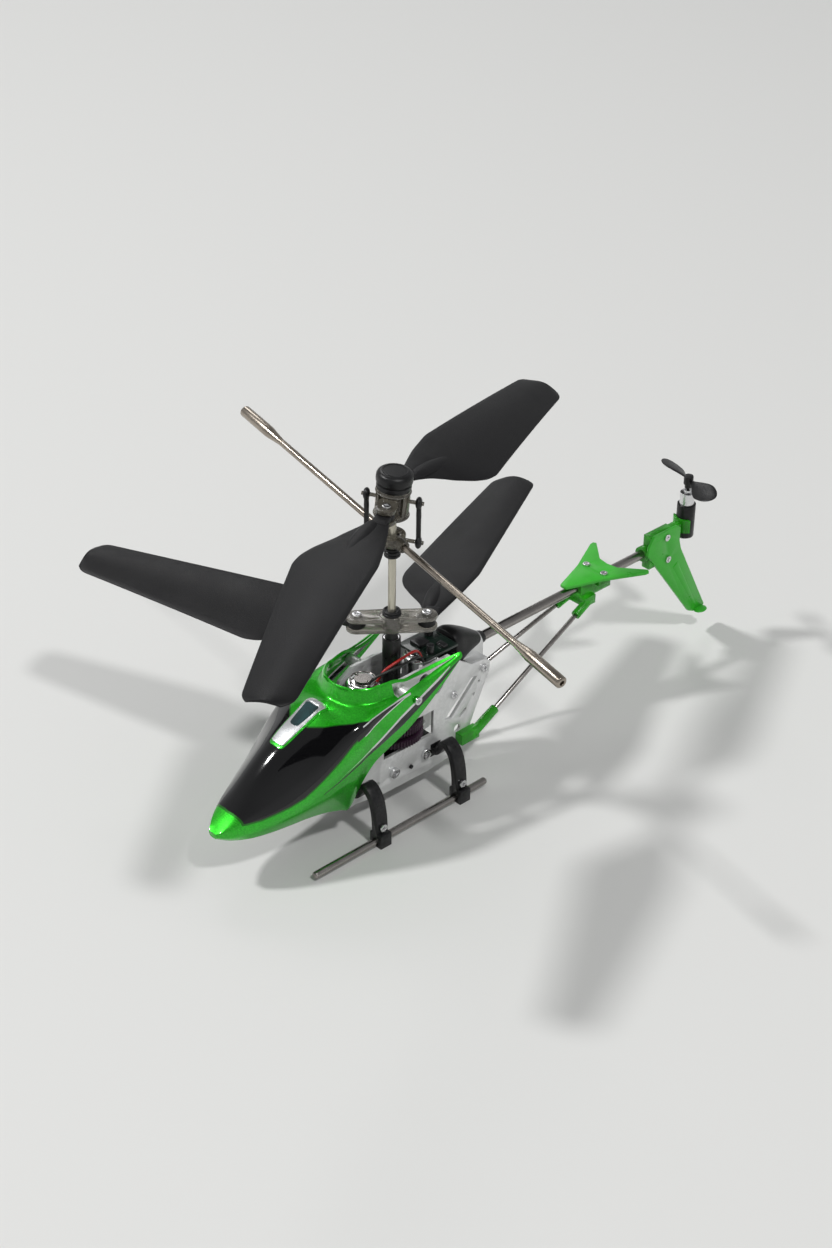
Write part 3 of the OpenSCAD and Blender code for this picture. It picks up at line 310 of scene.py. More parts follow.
# %% One finish for each kind of surface
FINE = dict(Grain_Scale=5200, Patch_Scale=160)
COARSE = dict(Grain_Scale=2600, Patch_Scale=90)
FINISHES = {
    "alloy": finish("bead_blasted_alloy", (0.74, 0.745, 0.74), 0.38, 0.4, grain, FINE,
                    0.03, 0.08, 0.06, ((0.9, 0.9, 0.9), 0.6)),
    "steel": finish("dark_nickel_tube", (0.33, 0.31, 0.295), 0.22, 1, hairlines, None,
                    0.006, 0.07, 0.12),
    "bright_steel": finish("plated_screw", (0.72, 0.72, 0.73), 0.22, 1, hairlines, None,
                           0.01, 0.07, 0.08),
    "flybar_steel": finish("brassy_nickel_rod", (0.37, 0.325, 0.275), 0.25, 1, hairlines,
                           dict(Line_Scale=2200), 0.005, 0.07, 0.14),
    "shaft": finish("ivory_shaft", (0.56, 0.53, 0.44), 0.2, 0.6, hairlines, None,
                    0.005, 0.05, 0.08),
    "black_plastic": finish("black_nylon", (0.006, 0.006, 0.0065), 0.34, 0, grain, FINE,
                            0.05, 0.1, 0.3, ((0.05, 0.05, 0.053), 0.7), Specular_IOR_Level=0.35),
    "black_rubber": finish("black_rubber", (0.005, 0.005, 0.0053), 0.40, 0, grain, COARSE,
                           0.09, 0.1, 0.25, Specular_IOR_Level=0.35),
    "blade": finish("grained_blade", (0.0085, 0.0083, 0.009), 0.44, 0, grain,
                    dict(Grain_Scale=3200, Patch_Scale=60), 0.09, 0.06, 0.2,
                    ((0.06, 0.06, 0.06), 0.5), Specular_IOR_Level=0.22),
    "smoke": finish("smoky_clear_plastic", (0.40, 0.38, 0.34), 0.1, 0, grain, FINE,
                    0.03, 0.05, 0.15, Transmission_Weight=0.75, IOR=1.45),
    "dark_smoke": finish("dark_smoky_plastic", (0.17, 0.155, 0.125), 0.08, 0, grain, FINE,
                         0.03, 0.04, 0.2, Transmission_Weight=0.6, IOR=1.45),
    "green_clear": finish("clear_green_plastic", (0.045, 0.55, 0.02), 0.12, 0, grain, COARSE,
                          0.1, 0.06, 0.35, Transmission_Weight=0.5, IOR=1.45),
    "green_matte": finish("matte_green_plastic", (0.035, 0.43, 0.022), 0.34, 0, grain, FINE,
                          0.04, 0.08, 0.08, ((0.12, 0.55, 0.1), 0.4)),
    "gear": finish("plum_gear_nylon", (0.035, 0.012, 0.03), 0.38, 0, grain, FINE, 0.04, 0.1, 0.3),
    "brass": finish("brass_pinion", (0.62, 0.45, 0.19), 0.28, 1, hairlines, None, 0.01),
    # The circuit board is nearly black rather than green: painted shade for the dark inside of the
    # canopy.
    "board": finish("circuit_board", (0.004, 0.012, 0.008), 0.3, 0, grain, FINE,
                    0.03, 0.08, 0.3, Coat_Weight=0.4),
    "chips": finish("black_chips", (0.015, 0.015, 0.016), 0.3, 0, grain, FINE, 0.03),
    "battery": finish("foil_pouch", (0.55, 0.56, 0.58), 0.3, 0.7, grain, COARSE, 0.15, 0.1, 0.1),
    "wires": finish("wire_jacket", (0.42, 0.015, 0.012), 0.32, 0, grain, FINE, 0.02),
    "knob": finish("pale_knob", (0.7, 0.7, 0.7), 0.4, 0, grain, FINE, 0.03),
    "lens": finish("clear_lens", (0.85, 0.88, 0.92), 0.08, 0, grain, FINE,
                   0.01, 0.04, 0.04, Transmission_Weight=0.7, IOR=1.49),
}
print(len(FINISHES), "finishes")

# %% [markdown]
# ## The canopy's paint
# The shell is one moulding, sprayed candy green and masked for a black windshield and two swooshes.
# The lower swoosh lies along the side crease: its silver line is partly a painted highlight and its
# dark line partly painted shade of that crease.
# The masks are drawn with curves over the shell's own coordinates, so their edges stay crisp.
# Green is a metallic under a clear coat, black and silver only change the layer under that coat.

# %% Curves and bands over the shell
def curve_through(tree, value, points):
    """A value's height on a line through (value, height) points, both in millimetres."""
    low, high = points[0][0], points[-1][0]
    floor_z, top_z = min(p[1] for p in points), max(p[1] for p in points)
    node = tree.nodes.new("ShaderNodeFloatCurve")
    curve = node.mapping.curves[0]
    for index, (x, z) in enumerate(points):
        spot = ((x - low) / (high - low), (z - floor_z) / (top_z - floor_z))
        if index in (0, len(points) - 1):
            curve.points[0 if index == 0 else -1].location = spot
        else:
            curve.points.new(*spot)
    for handle in curve.points:
        handle.handle_type = "VECTOR"
    node.mapping.update()
    from_start = math_node(tree, "SUBTRACT", value, low)
    wire(tree, math_node(tree, "DIVIDE", from_start, high - low, clamp=True), node.inputs["Value"])
    return math_node(tree, "MULTIPLY_ADD", node.outputs[0], top_z - floor_z, floor_z)


def above(tree, value, line, soft=0.12):
    """1 where value is above line, with an edge a tenth of a millimetre soft."""
    return math_node(tree, "DIVIDE", math_node(tree, "SUBTRACT", value, line), soft, clamp=True)


def both_of(tree, *masks):
    result = masks[0]
    for mask in masks[1:]:
        result = math_node(tree, "MULTIPLY", result, mask)
    return result


paint = bpy.data.materials.new("candy_green_paint")
paint.use_nodes = True
tree = paint.node_tree
paint_shader = tree.nodes["Principled BSDF"]
split = tree.nodes.new("ShaderNodeSeparateXYZ")
wire(tree, scaled_coordinates(tree, (1000, 1000, 1000)), split.inputs[0])
side_x = math_node(tree, "ABSOLUTE", split.outputs["X"])
at_y, at_z = split.outputs["Y"], split.outputs["Z"]

sill = curve_through(tree, at_y, [(-61, 19.8), (-58.7, 19.9), (-54.6, 20.4), (-47, 22.4),
                                  (-43, 24.0), (-38.8, 27), (-33, 31.5), (-27.7, 35.6),
                                  (-22, 38.6), (-18, 40.6)])
brow = curve_through(tree, side_x, [(0, -34.5), (3.6, -34.5), (5, -33.4), (7, -31.6),
                                    (10, -27.6), (12, -25.2), (14, -21.6), (16, -17)])
nose = curve_through(tree, side_x, [(0, -59.8), (3, -59.6), (6, -59.2), (9, -57), (16, -57)])
glass = both_of(tree, above(tree, at_z, sill), above(tree, brow, at_y), above(tree, at_y, nose))
SEAM = 0.5  # width of the dark line round the windshield
seam = both_of(tree, above(tree, at_z, math_node(tree, "SUBTRACT", sill, SEAM)),
               above(tree, math_node(tree, "ADD", brow, SEAM), at_y),
               above(tree, at_y, math_node(tree, "SUBTRACT", nose, SEAM)))

upper_line = curve_through(tree, at_y, [(-26, 37.1), (-20, 39.15), (-14, 40.55), (-8, 41.75),
                                        (-4, 42.3)])
upper_half = curve_through(tree, at_y, [(-26, 1.4), (-22, 1.15), (-17, 0.8), (-8, 0.05), (-4, 0.0)])
lower_line = curve_through(tree, at_y, [(-46, 18.4), (-36, 24.2), (-26, 28.8), (-16, 33.2),
                                        (-8, 36.8), (0, 40.4), (6, 43.2), (12, 46.2)])
lower_half = curve_through(tree, at_y, [(-46, 0.0), (-34, 0.1), (-22, 0.35), (-10, 1.15),
                                        (0, 0.8), (12, 0.1)])
SIDES_FROM = 5.0  # stripes stay this far out from the ridge


def band(line, half, lift, extra, start, end):
    """A tapering stripe from start to end along y: its middle is line + lift, and its half
    height is half + extra."""
    middle = math_node(tree, "ADD", line, lift)
    offset = math_node(tree, "ABSOLUTE", math_node(tree, "SUBTRACT", at_z, middle))
    return both_of(tree, above(tree, math_node(tree, "ADD", half, extra), offset),
                   above(tree, at_y, start), above(tree, end, at_y),
                   above(tree, side_x, SIDES_FROM))


upper_silver = band(upper_line, upper_half, 0, 0.32, -23.5, -5.5)
upper_black = band(upper_line, upper_half, 0, 0.0, -26.0, -7.6)
# The lower silver band is partly a painted highlight along the side crease, and the lower dark band
# is partly painted shade under it.
lower_silver_and_highlight = band(lower_line, lower_half, 0.1, -0.1, -32, 9)
lower_dark_and_shade = band(lower_line, lower_half, -0.9, 0.15, -37, 14)

flakes = noise_node(tree, scaled_coordinates(tree), 2600, 2, 0.6)
depth = noise_node(tree, scaled_coordinates(tree), 70, 4, 0.6)
green = mix_colour(tree, ramp(tree, flakes, 0, 1), (0.010, 0.36, 0.006), (0.035, 0.62, 0.020))
green = mix_colour(tree, ramp(tree, depth, 0, 0.35), green, (0.006, 0.30, 0.004))
silver = mix_colour(tree, ramp(tree, flakes, 0, 1), (0.62, 0.63, 0.63), (0.80, 0.81, 0.81))
black = (0.0035, 0.0035, 0.004)
colour = mix_colour(tree, seam, green, (0.012, 0.16, 0.008))
colour = mix_colour(tree, glass, colour, black)
# The lower silver and dark green-black stripes are partly painted highlight and painted shade of
# the side crease.
for stripe, shown in ((lower_silver_and_highlight, silver), (lower_dark_and_shade, (0.008, 0.014, 0.010)),
                      (upper_silver, silver), (upper_black, black)):
    colour = mix_colour(tree, stripe, colour, shown)
wire(tree, colour, paint_shader.inputs["Base Color"])
dark = math_node(tree, "MAXIMUM", glass, math_node(tree, "MAXIMUM", upper_black, lower_dark_and_shade))
METAL_SHARE = 0.62  # of the green and silver layers; black has none
wire(tree, math_node(tree, "MULTIPLY_ADD", dark, -METAL_SHARE, METAL_SHARE),
     paint_shader.inputs["Metallic"])
uneven = math_node(tree, "MULTIPLY_ADD", depth, 0.12, 0.26)
wire(tree, math_node(tree, "MULTIPLY_ADD", dark, -0.24, uneven), paint_shader.inputs["Roughness"])
for socket, value in (("Coat Weight", 0.9), ("Coat Roughness", 0.05), ("Coat IOR", 1.4),
                      ("Specular IOR Level", 0.3)):
    paint_shader.inputs[socket].default_value = value
orange_peel = tree.nodes.new("ShaderNodeBump")
orange_peel.inputs["Distance"].default_value = 0.012 * MM
orange_peel.inputs["Strength"].default_value = 0.5
wire(tree, noise_node(tree, scaled_coordinates(tree), 900, 2, 0.5), orange_peel.inputs["Height"])
wire(tree, orange_peel.outputs["Normal"], paint_shader.inputs["Normal"])
FINISHES["paint"] = paint
print("paint has", len(tree.nodes), "nodes")

# %% [markdown]
# ## The canopy shell
# The real shell is a thin vacuum-formed skin: a pointed nose, a waist crease, an open top with a
# raised collar round the mast, and a long window in each shoulder that ends in a swept tip.
# Its cross-sections change all the way, so a net of points through a few stations is the shortest
# way to that shape. The net follows the openings' outlines, so their edges are clean, and
# Solidify gives it its wall.

# %% Stations and sections
STATIONS = [  # y, then x and z of the lower edge, the belly, the crease and the top edge
    (-65.4, 0.9, 15.4, 1.7, 16.2, 1.5, 17.2, 0.6, 17.9),
    (-62, 3.4, 14.5, 4.5, 16.2, 4.1, 18.9, 1, 20.6),
    (-57, 5.8, 14, 7, 17.2, 6.4, 21.2, 1.2, 24.6),
    (-51, 7.6, 14, 9.4, 18.4, 8.6, 23.2, 1.4, 29.8),
    (-45, 8.7, 14, 11.2, 19.6, 10.4, 25.8, 1.5, 34.2),
    (-39, 9.2, 13.6, 12.6, 21, 12.2, 29.6, 1.6, 37.6),
    (-33, 9.4, 12.4, 13.6, 22.6, 13.4, 34, 1.7, 40.4),
    (-28, 9.8, 11, 14.2, 24.6, 13.8, 37.6, 1.8, 42.4),
    (-25, 10.2, 10.4, 14.5, 26, 13.8, 39.4, 1.9, 43.4),
    (-22.4, 12, 18, 14.7, 29, 13.8, 40.2, 2, 44.2),
    (-19.4, 14.2, 25.2, 14.9, 32, 13.8, 40.8, 6.2, 44.6),
    (-14, 14.7, 28.4, 15, 34, 13.8, 41.4, 9, 44.7),
    (-7, 15.1, 31.8, 15.1, 36, 13.9, 41.9, 10.2, 44.8),
    (0, 15.1, 36.4, 15, 39, 14, 42.9, 10.6, 45.2),
    (7, 14.8, 41.2, 14.8, 42.4, 14.1, 44.6, 11.8, 46.2),
    (13.6, 14.4, 46, 14.4, 46.3, 14.2, 46.9, 13.7, 47.4)]
# The round front of the top opening: where it starts, its middle, half width and length
MOUTH_START, MOUTH_Y, MOUTH_HALF, MOUTH_LENGTH = -21.4, -14, 9.0, 7.4
# Where the shoulder window starts and ends along y, and the rows of the net that it takes
WINDOW_START, WINDOW_END = -9.6, 11.5
WINDOW_ROWS = range(17, 27)
# Rows of a ring up to the crease, and the shoulder rows that border the window
SIDE_ROWS = 14
WINDOW_LOW, WINDOW_HIGH = 0.22, 0.80


def blend_points(points, t):
    """A smooth curve through points; t runs from 0 at the first to 1 at the last."""
    n = len(points) - 1
    i = min(int(t * n), n - 1)
    u = t * n - i
    a, b, c, d = points[max(i - 1, 0)], points[i], points[i + 1], points[min(i + 2, n)]
    return [0.5 * (2 * q + (r - p) * u + (2 * p - 5 * q + 4 * r - s) * u * u
                   + (3 * q - p - 3 * r + s) * u ** 3) for p, q, r, s in zip(a, b, c, d)]


def smooth_step(value, low, high):
    t = min(max((value - low) / (high - low), 0), 1)
    return t * t * (3 - 2 * t)


def opening_half(y, top_x):
    """Half the width of the top opening: a round front, then the station's own edge."""
    if y < MOUTH_START:
        return 0.0
    if y < MOUTH_Y:
        return MOUTH_HALF * math.sqrt(max(1 - ((MOUTH_Y - y) / MOUTH_LENGTH) ** 2, 0))
    return top_x


def window_share(row_share, y):
    """Moves the two middle rows of the shoulder so that they follow the window's outline."""
    k = smooth_step(y, WINDOW_START, WINDOW_END)
    low, high = WINDOW_LOW + 0.30 * k, WINDOW_HIGH - 0.17 * k
    if row_share <= WINDOW_LOW:
        return row_share * low / WINDOW_LOW
    if row_share >= WINDOW_HIGH:
        return 1 - (1 - row_share) * (1 - high) / 0.20
    return low + (row_share - WINDOW_LOW) * (high - low) / 0.58


SHOULDER = ([0.07, 0.145, 0.22] + [0.22 + 0.058 * k for k in range(1, 11)]
            + [0.84, 0.88, 0.92, 0.96, 1.0])


COLLAR_RISE = 1.4


def half_ring(station):
    """One side's points at a station, from the lower edge up to the opening.

    The collar round the opening is raised and the shoulder beside it is flattened. In front of
    it the section is rounded off, and a few smoothing passes take the ridge away.
    """
    y, lx, lz, bx, bz, cx, cz, tx, tz = station
    edge_x = opening_half(y, tx)
    mixed = smooth_step(y, -22.4, -14)
    mid_x, mid_z = (cx + edge_x) / 2, (cz + tz) / 2
    top = (tx + (mid_x - tx) * mixed, tz + (mid_z - tz) * mixed)
    end = (edge_x, tz + 0.12 * (1 - mixed))
    path = [(lx, lz), (bx, bz), (cx, cz), top, end]
    ring = [blend_points(path, 0.5 * k / SIDE_ROWS) for k in range(SIDE_ROWS + 1)]
    for share in SHOULDER:
        ring.append(blend_points(path, 0.5 + 0.5 * window_share(share, y)))
    lifted = []
    for index, (x, z) in enumerate(ring):
        if index > SIDE_ROWS:
            if y < MOUTH_Y:
                out = (math.hypot(x / MOUTH_HALF, (y - MOUTH_Y) / MOUTH_LENGTH) - 1) * 8.2
            else:
                out = x - edge_x
            fade = smooth_step(y, -30, -23.5) * (1 - smooth_step(y, -9.5, -4))
            wall = smooth_step(out, 0.3, 1.9)
            shoulder = cz + 0.38 * (z - cz)
            raised = (z + COLLAR_RISE) * (1 - wall) + shoulder * wall
            z += (raised - z) * fade
        lifted.append((x, y, z))
    round_off = (0.6 + 0.38 * (1 - smooth_step(y, -62, -55))) * (1 - smooth_step(y, -33, -25))
    for index, share in enumerate(SHOULDER):
        x, _, z = lifted[SIDE_ROWS + 1 + index]
        angle = math.radians(90 * share)
        round_x, round_z = cx * math.cos(angle), cz + (tz - 0.9 - cz) * math.sin(angle)
        lifted[SIDE_ROWS + 1 + index] = (x + (round_x - x) * round_off, y,
                                         z + (round_z - z) * round_off)
    passes = int(12 * (1 - smooth_step(y, -34, -25)))
    for _ in range(passes):
        xs, zs = [p[0] for p in lifted], [p[2] for p in lifted]
        for k in range(SIDE_ROWS + 2, len(lifted)):
            mirrored = k == len(lifted) - 1
            after = (-xs[k - 1], zs[k - 1]) if mirrored else (xs[k + 1], zs[k + 1])
            lifted[k] = (0.5 * xs[k] + 0.25 * (xs[k - 1] + after[0]), y,
                         0.5 * zs[k] + 0.25 * (zs[k - 1] + after[1]))
    return lifted


# %% The shell's net
NOSE_Y, REAR_Y = STATIONS[0][0], STATIONS[-1][0]
fine_y = sorted(set([round(NOSE_Y + 0.79 * k, 3) for k in range(101)]
                    + [round(-22.4 + 0.25 * k, 3) for k in range(35)]
                    + [MOUTH_START, WINDOW_START, WINDOW_END]))
fine_y = [y for y in fine_y if y <= REAR_Y]
rings = []
for y in fine_y:
    low, high = 0.0, 1.0
    for _ in range(40):
        t = (low + high) / 2
        low, high = (t, high) if blend_points(STATIONS, t)[0] < y else (low, t)
    rings.append(half_ring([y] + blend_points(STATIONS, (low + high) / 2)[1:]))
rows = len(rings[0])
points, faces = [], []
for side in (-1, 1):
    for ring in rings:
        points += [(side * max(x, 0) * MM, y * MM, z * MM) for x, y, z in ring]
count = len(rings)
for side in (0, 1):
    for i in range(count - 1):
        middle = (fine_y[i] + fine_y[i + 1]) / 2
        for j in range(rows - 1):
            if WINDOW_START < middle < WINDOW_END and j in WINDOW_ROWS:
                continue
            a = (side * count + i) * rows + j
            quad = (a, a + rows, a + rows + 1, a + 1)
            faces.append(quad if side else quad[::-1])
faces.append((*range(rows), *range(count * rows + rows - 1, count * rows - 1, -1)))  # nose
shell_mesh = bpy.data.meshes.new("canopy_shell")
shell_mesh.from_pydata(points, [], faces)
shell = bpy.data.objects.new("canopy_shell", shell_mesh)
bpy.context.scene.collection.objects.link(shell)
print("canopy net", len(points), "points", len(faces), "faces")


# %% [markdown]
# ## Helpers for every piece
# Each piece ends the same way: its place goes into its mesh, its faces point outwards, it gets
# its finish, and it rides on the part of the frame that carries it.

# %% Make active, merge, apply, dress
def only(piece):
    deselect_all()
    piece.select_set(True)
    bpy.context.view_layer.objects.active = piece


def clean_mesh(piece, flat=0.6, merge=0.004, outward=False):
    """Merges doubled points and joins triangles that lie in one plane."""
    only(piece)
    bpy.ops.object.mode_set(mode="EDIT")
    bpy.ops.mesh.select_all(action="SELECT")
    bpy.ops.mesh.remove_doubles(threshold=merge * MM)
    if flat:
        bpy.ops.mesh.dissolve_limited(angle_limit=math.radians(flat))
    if outward:
        bpy.ops.mesh.normals_make_consistent(inside=False)
    bpy.ops.object.mode_set(mode="OBJECT")


def apply_modifier(piece, kind, **values):
    only(piece)
    bpy.ops.object.modifier_add(type=kind)
    modifier = piece.modifiers[-1]
    for name, value in values.items():
        setattr(modifier, name, value)
    bpy.ops.object.modifier_apply(modifier=modifier.name)


def soft_edges(piece, width=0.15, segments=2, angle=30):
    apply_modifier(piece, "BEVEL", width=width * MM, segments=segments, limit_method="ANGLE",
                   angle_limit=math.radians(angle), use_clamp_overlap=True)


def smooth(piece, angle=38):
    only(piece)
    bpy.ops.object.shade_smooth_by_angle(angle=math.radians(angle))


def dress(piece, name, body, finish_name, *replaced, slot=None):
    """Names a finished piece, gives it its finish and puts it on its body."""
    only(piece)
    bpy.ops.object.transform_apply(location=True, rotation=True, scale=True)
    piece.name = piece.data.name = name
    piece.data.materials.clear()
    piece.data.materials.append(FINISHES[finish_name])
    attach(piece, body)
    if replaced:
        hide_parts(*replaced)
    return piece


def bake_place(piece, matrix):
    """Puts a place into the mesh, so that the object stays at the origin."""
    piece.data.transform(matrix)
    piece.matrix_world = Matrix.Identity(4)


clean_mesh(shell, flat=0, merge=0.02, outward=True)
net_probe = shell.copy()
net_probe.data = shell.data.copy()
apply_modifier(shell, "SOLIDIFY", thickness=0.9 * MM, offset=-1, use_even_offset=False)
soft_edges(shell, 0.12, 2, 60)
smooth(shell, 50)
dress(shell, "canopy_shell", "airframe", "paint", "canopy")
print("canopy shell", len(shell.data.polygons), "faces")

# %% [markdown]
# ## The hood plate
# A raised silver plate with a dark glass inlay sits on the ridge in front of the mast.
# It has to follow the shell, so a flat rounded outline is laid over it and dropped onto it.

# %% Plates that follow the shell
net_probe.data.calc_loop_triangles()
shell_tree = BVHTree.FromPolygons([v.co.copy() for v in net_probe.data.vertices],
                                  [tuple(p.vertices) for p in net_probe.data.polygons])
bpy.data.objects.remove(net_probe)


def hood_plate(name, finish_name, outline, lift, thick):
    """A plate over the ridge; outline gives its half width at each y, in millimetres."""
    deselect_all()
    bpy.ops.mesh.primitive_grid_add(x_subdivisions=14, y_subdivisions=40, size=1)
    plate = bpy.context.object
    low, high = outline[0][0], outline[-1][0]
    for vertex in plate.data.vertices:
        y = low + (high - low) * (vertex.co.y + 0.5)
        for (y0, w0), (y1, w1) in zip(outline, outline[1:]):
            if y0 <= y <= y1 + 1e-6:
                half = w0 + (w1 - w0) * (y - y0) / (y1 - y0)
        x = 2 * vertex.co.x * half
        spot, normal, _, _ = shell_tree.ray_cast(Vector((x, y, 80)) * MM, Vector((0, 0, -1)))
        vertex.co = spot + normal.normalized() * (lift + thick) * MM
    apply_modifier(plate, "SOLIDIFY", thickness=thick * MM, offset=-1)
    clean_mesh(plate, flat=0, merge=0.004, outward=True)
    soft_edges(plate, 0.12, 2, 50)
    smooth(plate, 45)
    return dress(plate, name, "airframe", finish_name, slot="paint")


FINISHES["silver_paint"] = finish("silver_paint", (0.66, 0.67, 0.68), 0.26, 0.7, grain, FINE,
                                  0.015, 0.06, 0.08, Coat_Weight=0.6, Coat_Roughness=0.08)
FINISHES["dark_glass"] = finish("dark_glass_inlay", (0.012, 0.045, 0.048), 0.08, 0, grain, FINE,
                                0.01, 0.04, 0.5, Coat_Weight=1.0)
FINISHES["green_paint"] = finish("green_edge_paint", (0.02, 0.50, 0.012), 0.24, 0.5, grain, FINE,
                                 0.01, 0.05, 0.1, Coat_Weight=0.8, Coat_Roughness=0.06)
hood_plate("hood_edge", "green_paint",
           [(-43.0, 1.6), (-42.5, 2.5), (-40, 2.95), (-33, 3.35), (-27.2, 3.7), (-26.5, 3.3),
            (-26.2, 2.6)], -0.1, 0.4)
hood_plate("hood_plate", "silver_paint",
           [(-42.2, 1.4), (-41.8, 2.2), (-39, 2.5), (-33, 2.8), (-27.6, 3.2), (-27.0, 2.9),
            (-26.7, 2.2)], 0.1, 0.5)
hood_plate("hood_glass", "dark_glass",
           [(-36.2, 0.9), (-35.8, 1.5), (-33, 1.95), (-29.2, 2.3), (-28.8, 1.9)], 0.5, 0.22)

# %% [markdown]
# ## The four blades
# Each blade is a thin cambered plate with a swept trailing edge, a twist and rounded tip corners,
# on a round root that turns on its screw. A net gives the skin, operators give the root, and
# Bevel softens the rim that catches the light.

# %% One blade in its own frame
# Each edge is a line of (distance from the screw, distance from the blade's axis)
TRAILING = [(4, 2.4), (8, 4.6), (13, 8.6), (19, 13.4), (23, 15.4), (27, 16), (84, 7.4), (86, 5.8),
            (87, 3.6)]
LEADING = [(4, 2.4), (8, 3.4), (16, 5.4), (26, 7), (83, 6), (85, 4.8), (86, 3.2), (87, 2)]
BLADE_LENGTH = 86


def on_line(x, line):
    for (x0, y0), (x1, y1) in zip(line, line[1:]):
        if x <= x1:
            return y0 + (y1 - y0) * max(x - x0, 0) / (x1 - x0)
    return line[-1][1]


def softened(x, line):
    """The line's height at x, averaged over 2.5 mm so that its corners are round."""
    reach = min(1.25, max(86.6 - x, 0.3), x - 3.7)
    return sum(on_line(x + reach * k / 4, line) for k in range(-4, 5)) / 9


def sag_at(x, droop):
    """How far the blade has sunk at x, when its tip sinks by droop."""
    return droop * (x / BLADE_LENGTH) ** 1.6


def blade_skin(side, droop):
    """The blade's thin closed skin, lying along x; side is 1 or -1 for the way it turns."""
    stops = ([4 + 0.75 * k for k in range(33)] + [29 + 2.4 * k for k in range(23)]
             + [83, 83.8, 84.4, 84.9, 85.3, 85.6, 85.8, 85.95, BLADE_LENGTH])
    columns, skin, quads = 13, [], []
    for face in (1, -1):
        for x in stops:
            k = min(max((x - 27) / 57, 0), 1)
            wide = 1 - k + k * 13.5 / 13.4
            trail, lead = softened(x, TRAILING) * wide, softened(x, LEADING) * wide
            for c in range(columns):
                f = c / (columns - 1)
                y = -lead + (trail + lead) * f
                pitch = math.radians(12 * min(x / 14, 1) * (1 - 0.35 * k))
                round_top = math.sin(math.pi * f)
                camber = 0.9 * round_top * min((x - 4) / 12, 1)
                t = 0.45 * (0.35 + 0.65 * round_top) * (1.6 - 0.15 * (x - 4) if x < 8 else 1)
                z = -y * math.tan(pitch) + camber - sag_at(x, droop) + face * t
                skin.append((x, side * y, z))
    n, m = len(stops), columns
    low = n * m
    for i in range(n - 1):
        quads += [(a, a + m, a + m + 1, a + 1) for a in range(i * m, i * m + m - 1)]
        quads += [(a, a + 1, a + m + 1, a + m) for a in range(low + i * m, low + i * m + m - 1)]
        a, b = i * m, i * m + m - 1
        quads += [(a, low + a, low + a + m, a + m), (b, b + m, low + b + m, low + b)]
    for c in range(m - 1):
        a, b = c, (n - 1) * m + c
        quads += [(a, a + 1, low + a + 1, low + a), (b, low + b, low + b + 1, b + 1)]
    mesh = bpy.data.meshes.new("blade_skin")
    mesh.from_pydata([tuple(v * MM for v in p) for p in skin], [], quads)
    piece = bpy.data.objects.new("blade_skin", mesh)
    bpy.context.scene.collection.objects.link(piece)
    clean_mesh(piece, flat=0, outward=True)
    return piece


def blade(name, body, side, droop, matrix):
    """A whole blade: its skin, the eye at the screw, the neck, and the arm that fairs them."""
    skin = blade_skin(side, droop)
    soft_edges(skin, 0.12, 2, 50)
    deselect_all()
    bpy.ops.mesh.primitive_cylinder_add(vertices=48, radius=2.5 * MM, depth=2.2 * MM)
    eye = bpy.context.object
    soft_edges(eye, 0.3, 3, 50)
    deselect_all()
    bpy.ops.mesh.primitive_cube_add(size=1, location=(3.4 * MM, 0, 0))
    neck = bpy.context.object
    neck.scale = (6.2 * MM, 4.2 * MM, 1.8 * MM)
    only(neck)
    bpy.ops.object.transform_apply(location=True, scale=True)
    soft_edges(neck, 0.4, 3, 30)
    deselect_all()
    bpy.ops.mesh.primitive_uv_sphere_add(segments=32, ring_count=16, radius=1, location=(0, 0, 0))
    arm = bpy.context.object
    pitch = math.radians(9)
    for vertex in arm.data.vertices:
        along = (vertex.co.x + 1) / 2
        x = 3.5 + 22 * along
        half, tall = 3.0 - 1.3 * along, 1.55 - 0.95 * along
        y = side * (1.2 + 2.4 * along) + vertex.co.y * half
        z = (-side * y * math.tan(pitch) * along + 0.45 * along - sag_at(x, droop)
             + vertex.co.z * tall)
        vertex.co = Vector((x, y, z)) * MM
    only(skin)
    for part in (eye, neck, arm):
        part.select_set(True)
    bpy.ops.object.join()
    bake_place(skin, matrix)
    smooth(skin, 40)
    return dress(skin, name + "_skin", body, "blade", name)


def turn(degrees, axis):
    return Matrix.Rotation(math.radians(degrees), 4, axis)


# The rotors' heights on the mast, the ways they point, and the head's tilt
HEAD_Z, HEAD_TURN, HEAD_TILT = 95.8, 125, 4.56
LOWER_Z, LOWER_TURN = 56.7, 51
in_head = Matrix.Translation((0, 0, HEAD_Z * MM)) @ turn(HEAD_TURN, "Z") @ turn(HEAD_TILT, "X")
in_lower = Matrix.Translation((0, 0, LOWER_Z * MM)) @ turn(LOWER_TURN, "Z")


def box_difference(made, node):
    """The largest difference between a piece's box and its solid's, for each axis."""
    low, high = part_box(node)
    return [max(abs(made.bound_box[0][k] - low[k]), abs(made.bound_box[6][k] - high[k])) / MM
            for k in range(3)]


for name, base, end, pivot, swing, side, droop in (
        ("upper_blade_a", in_head, 1, 9, -18, -1, 6),
        ("upper_blade_b", in_head, -1, 9, -6.3, -1, 6),
        ("lower_blade_a", in_lower, 1, 9.7, 66.6, 1, 0.6),
        ("lower_blade_b", in_lower, -1, 9.7, -28.8, 1, 0.6)):
    straight = 0 if end > 0 else 180
    place = base @ Matrix.Translation((end * pivot * MM, 0, 0)) @ turn(straight + swing, "Z")
    made = blade(name, name, side, droop, place)
    print(name, "differs by", [round(g, 2) for g in box_difference(made, name)], "mm")

# %% [markdown]
# ## The rest of the frame
# The other solids already have their shapes, but their edges are perfectly sharp, and real
# mouldings and screws are not. Each gets a copy whose doubled points are merged, whose flat
# triangles are joined, and whose edges are rounded by the width that its making leaves.

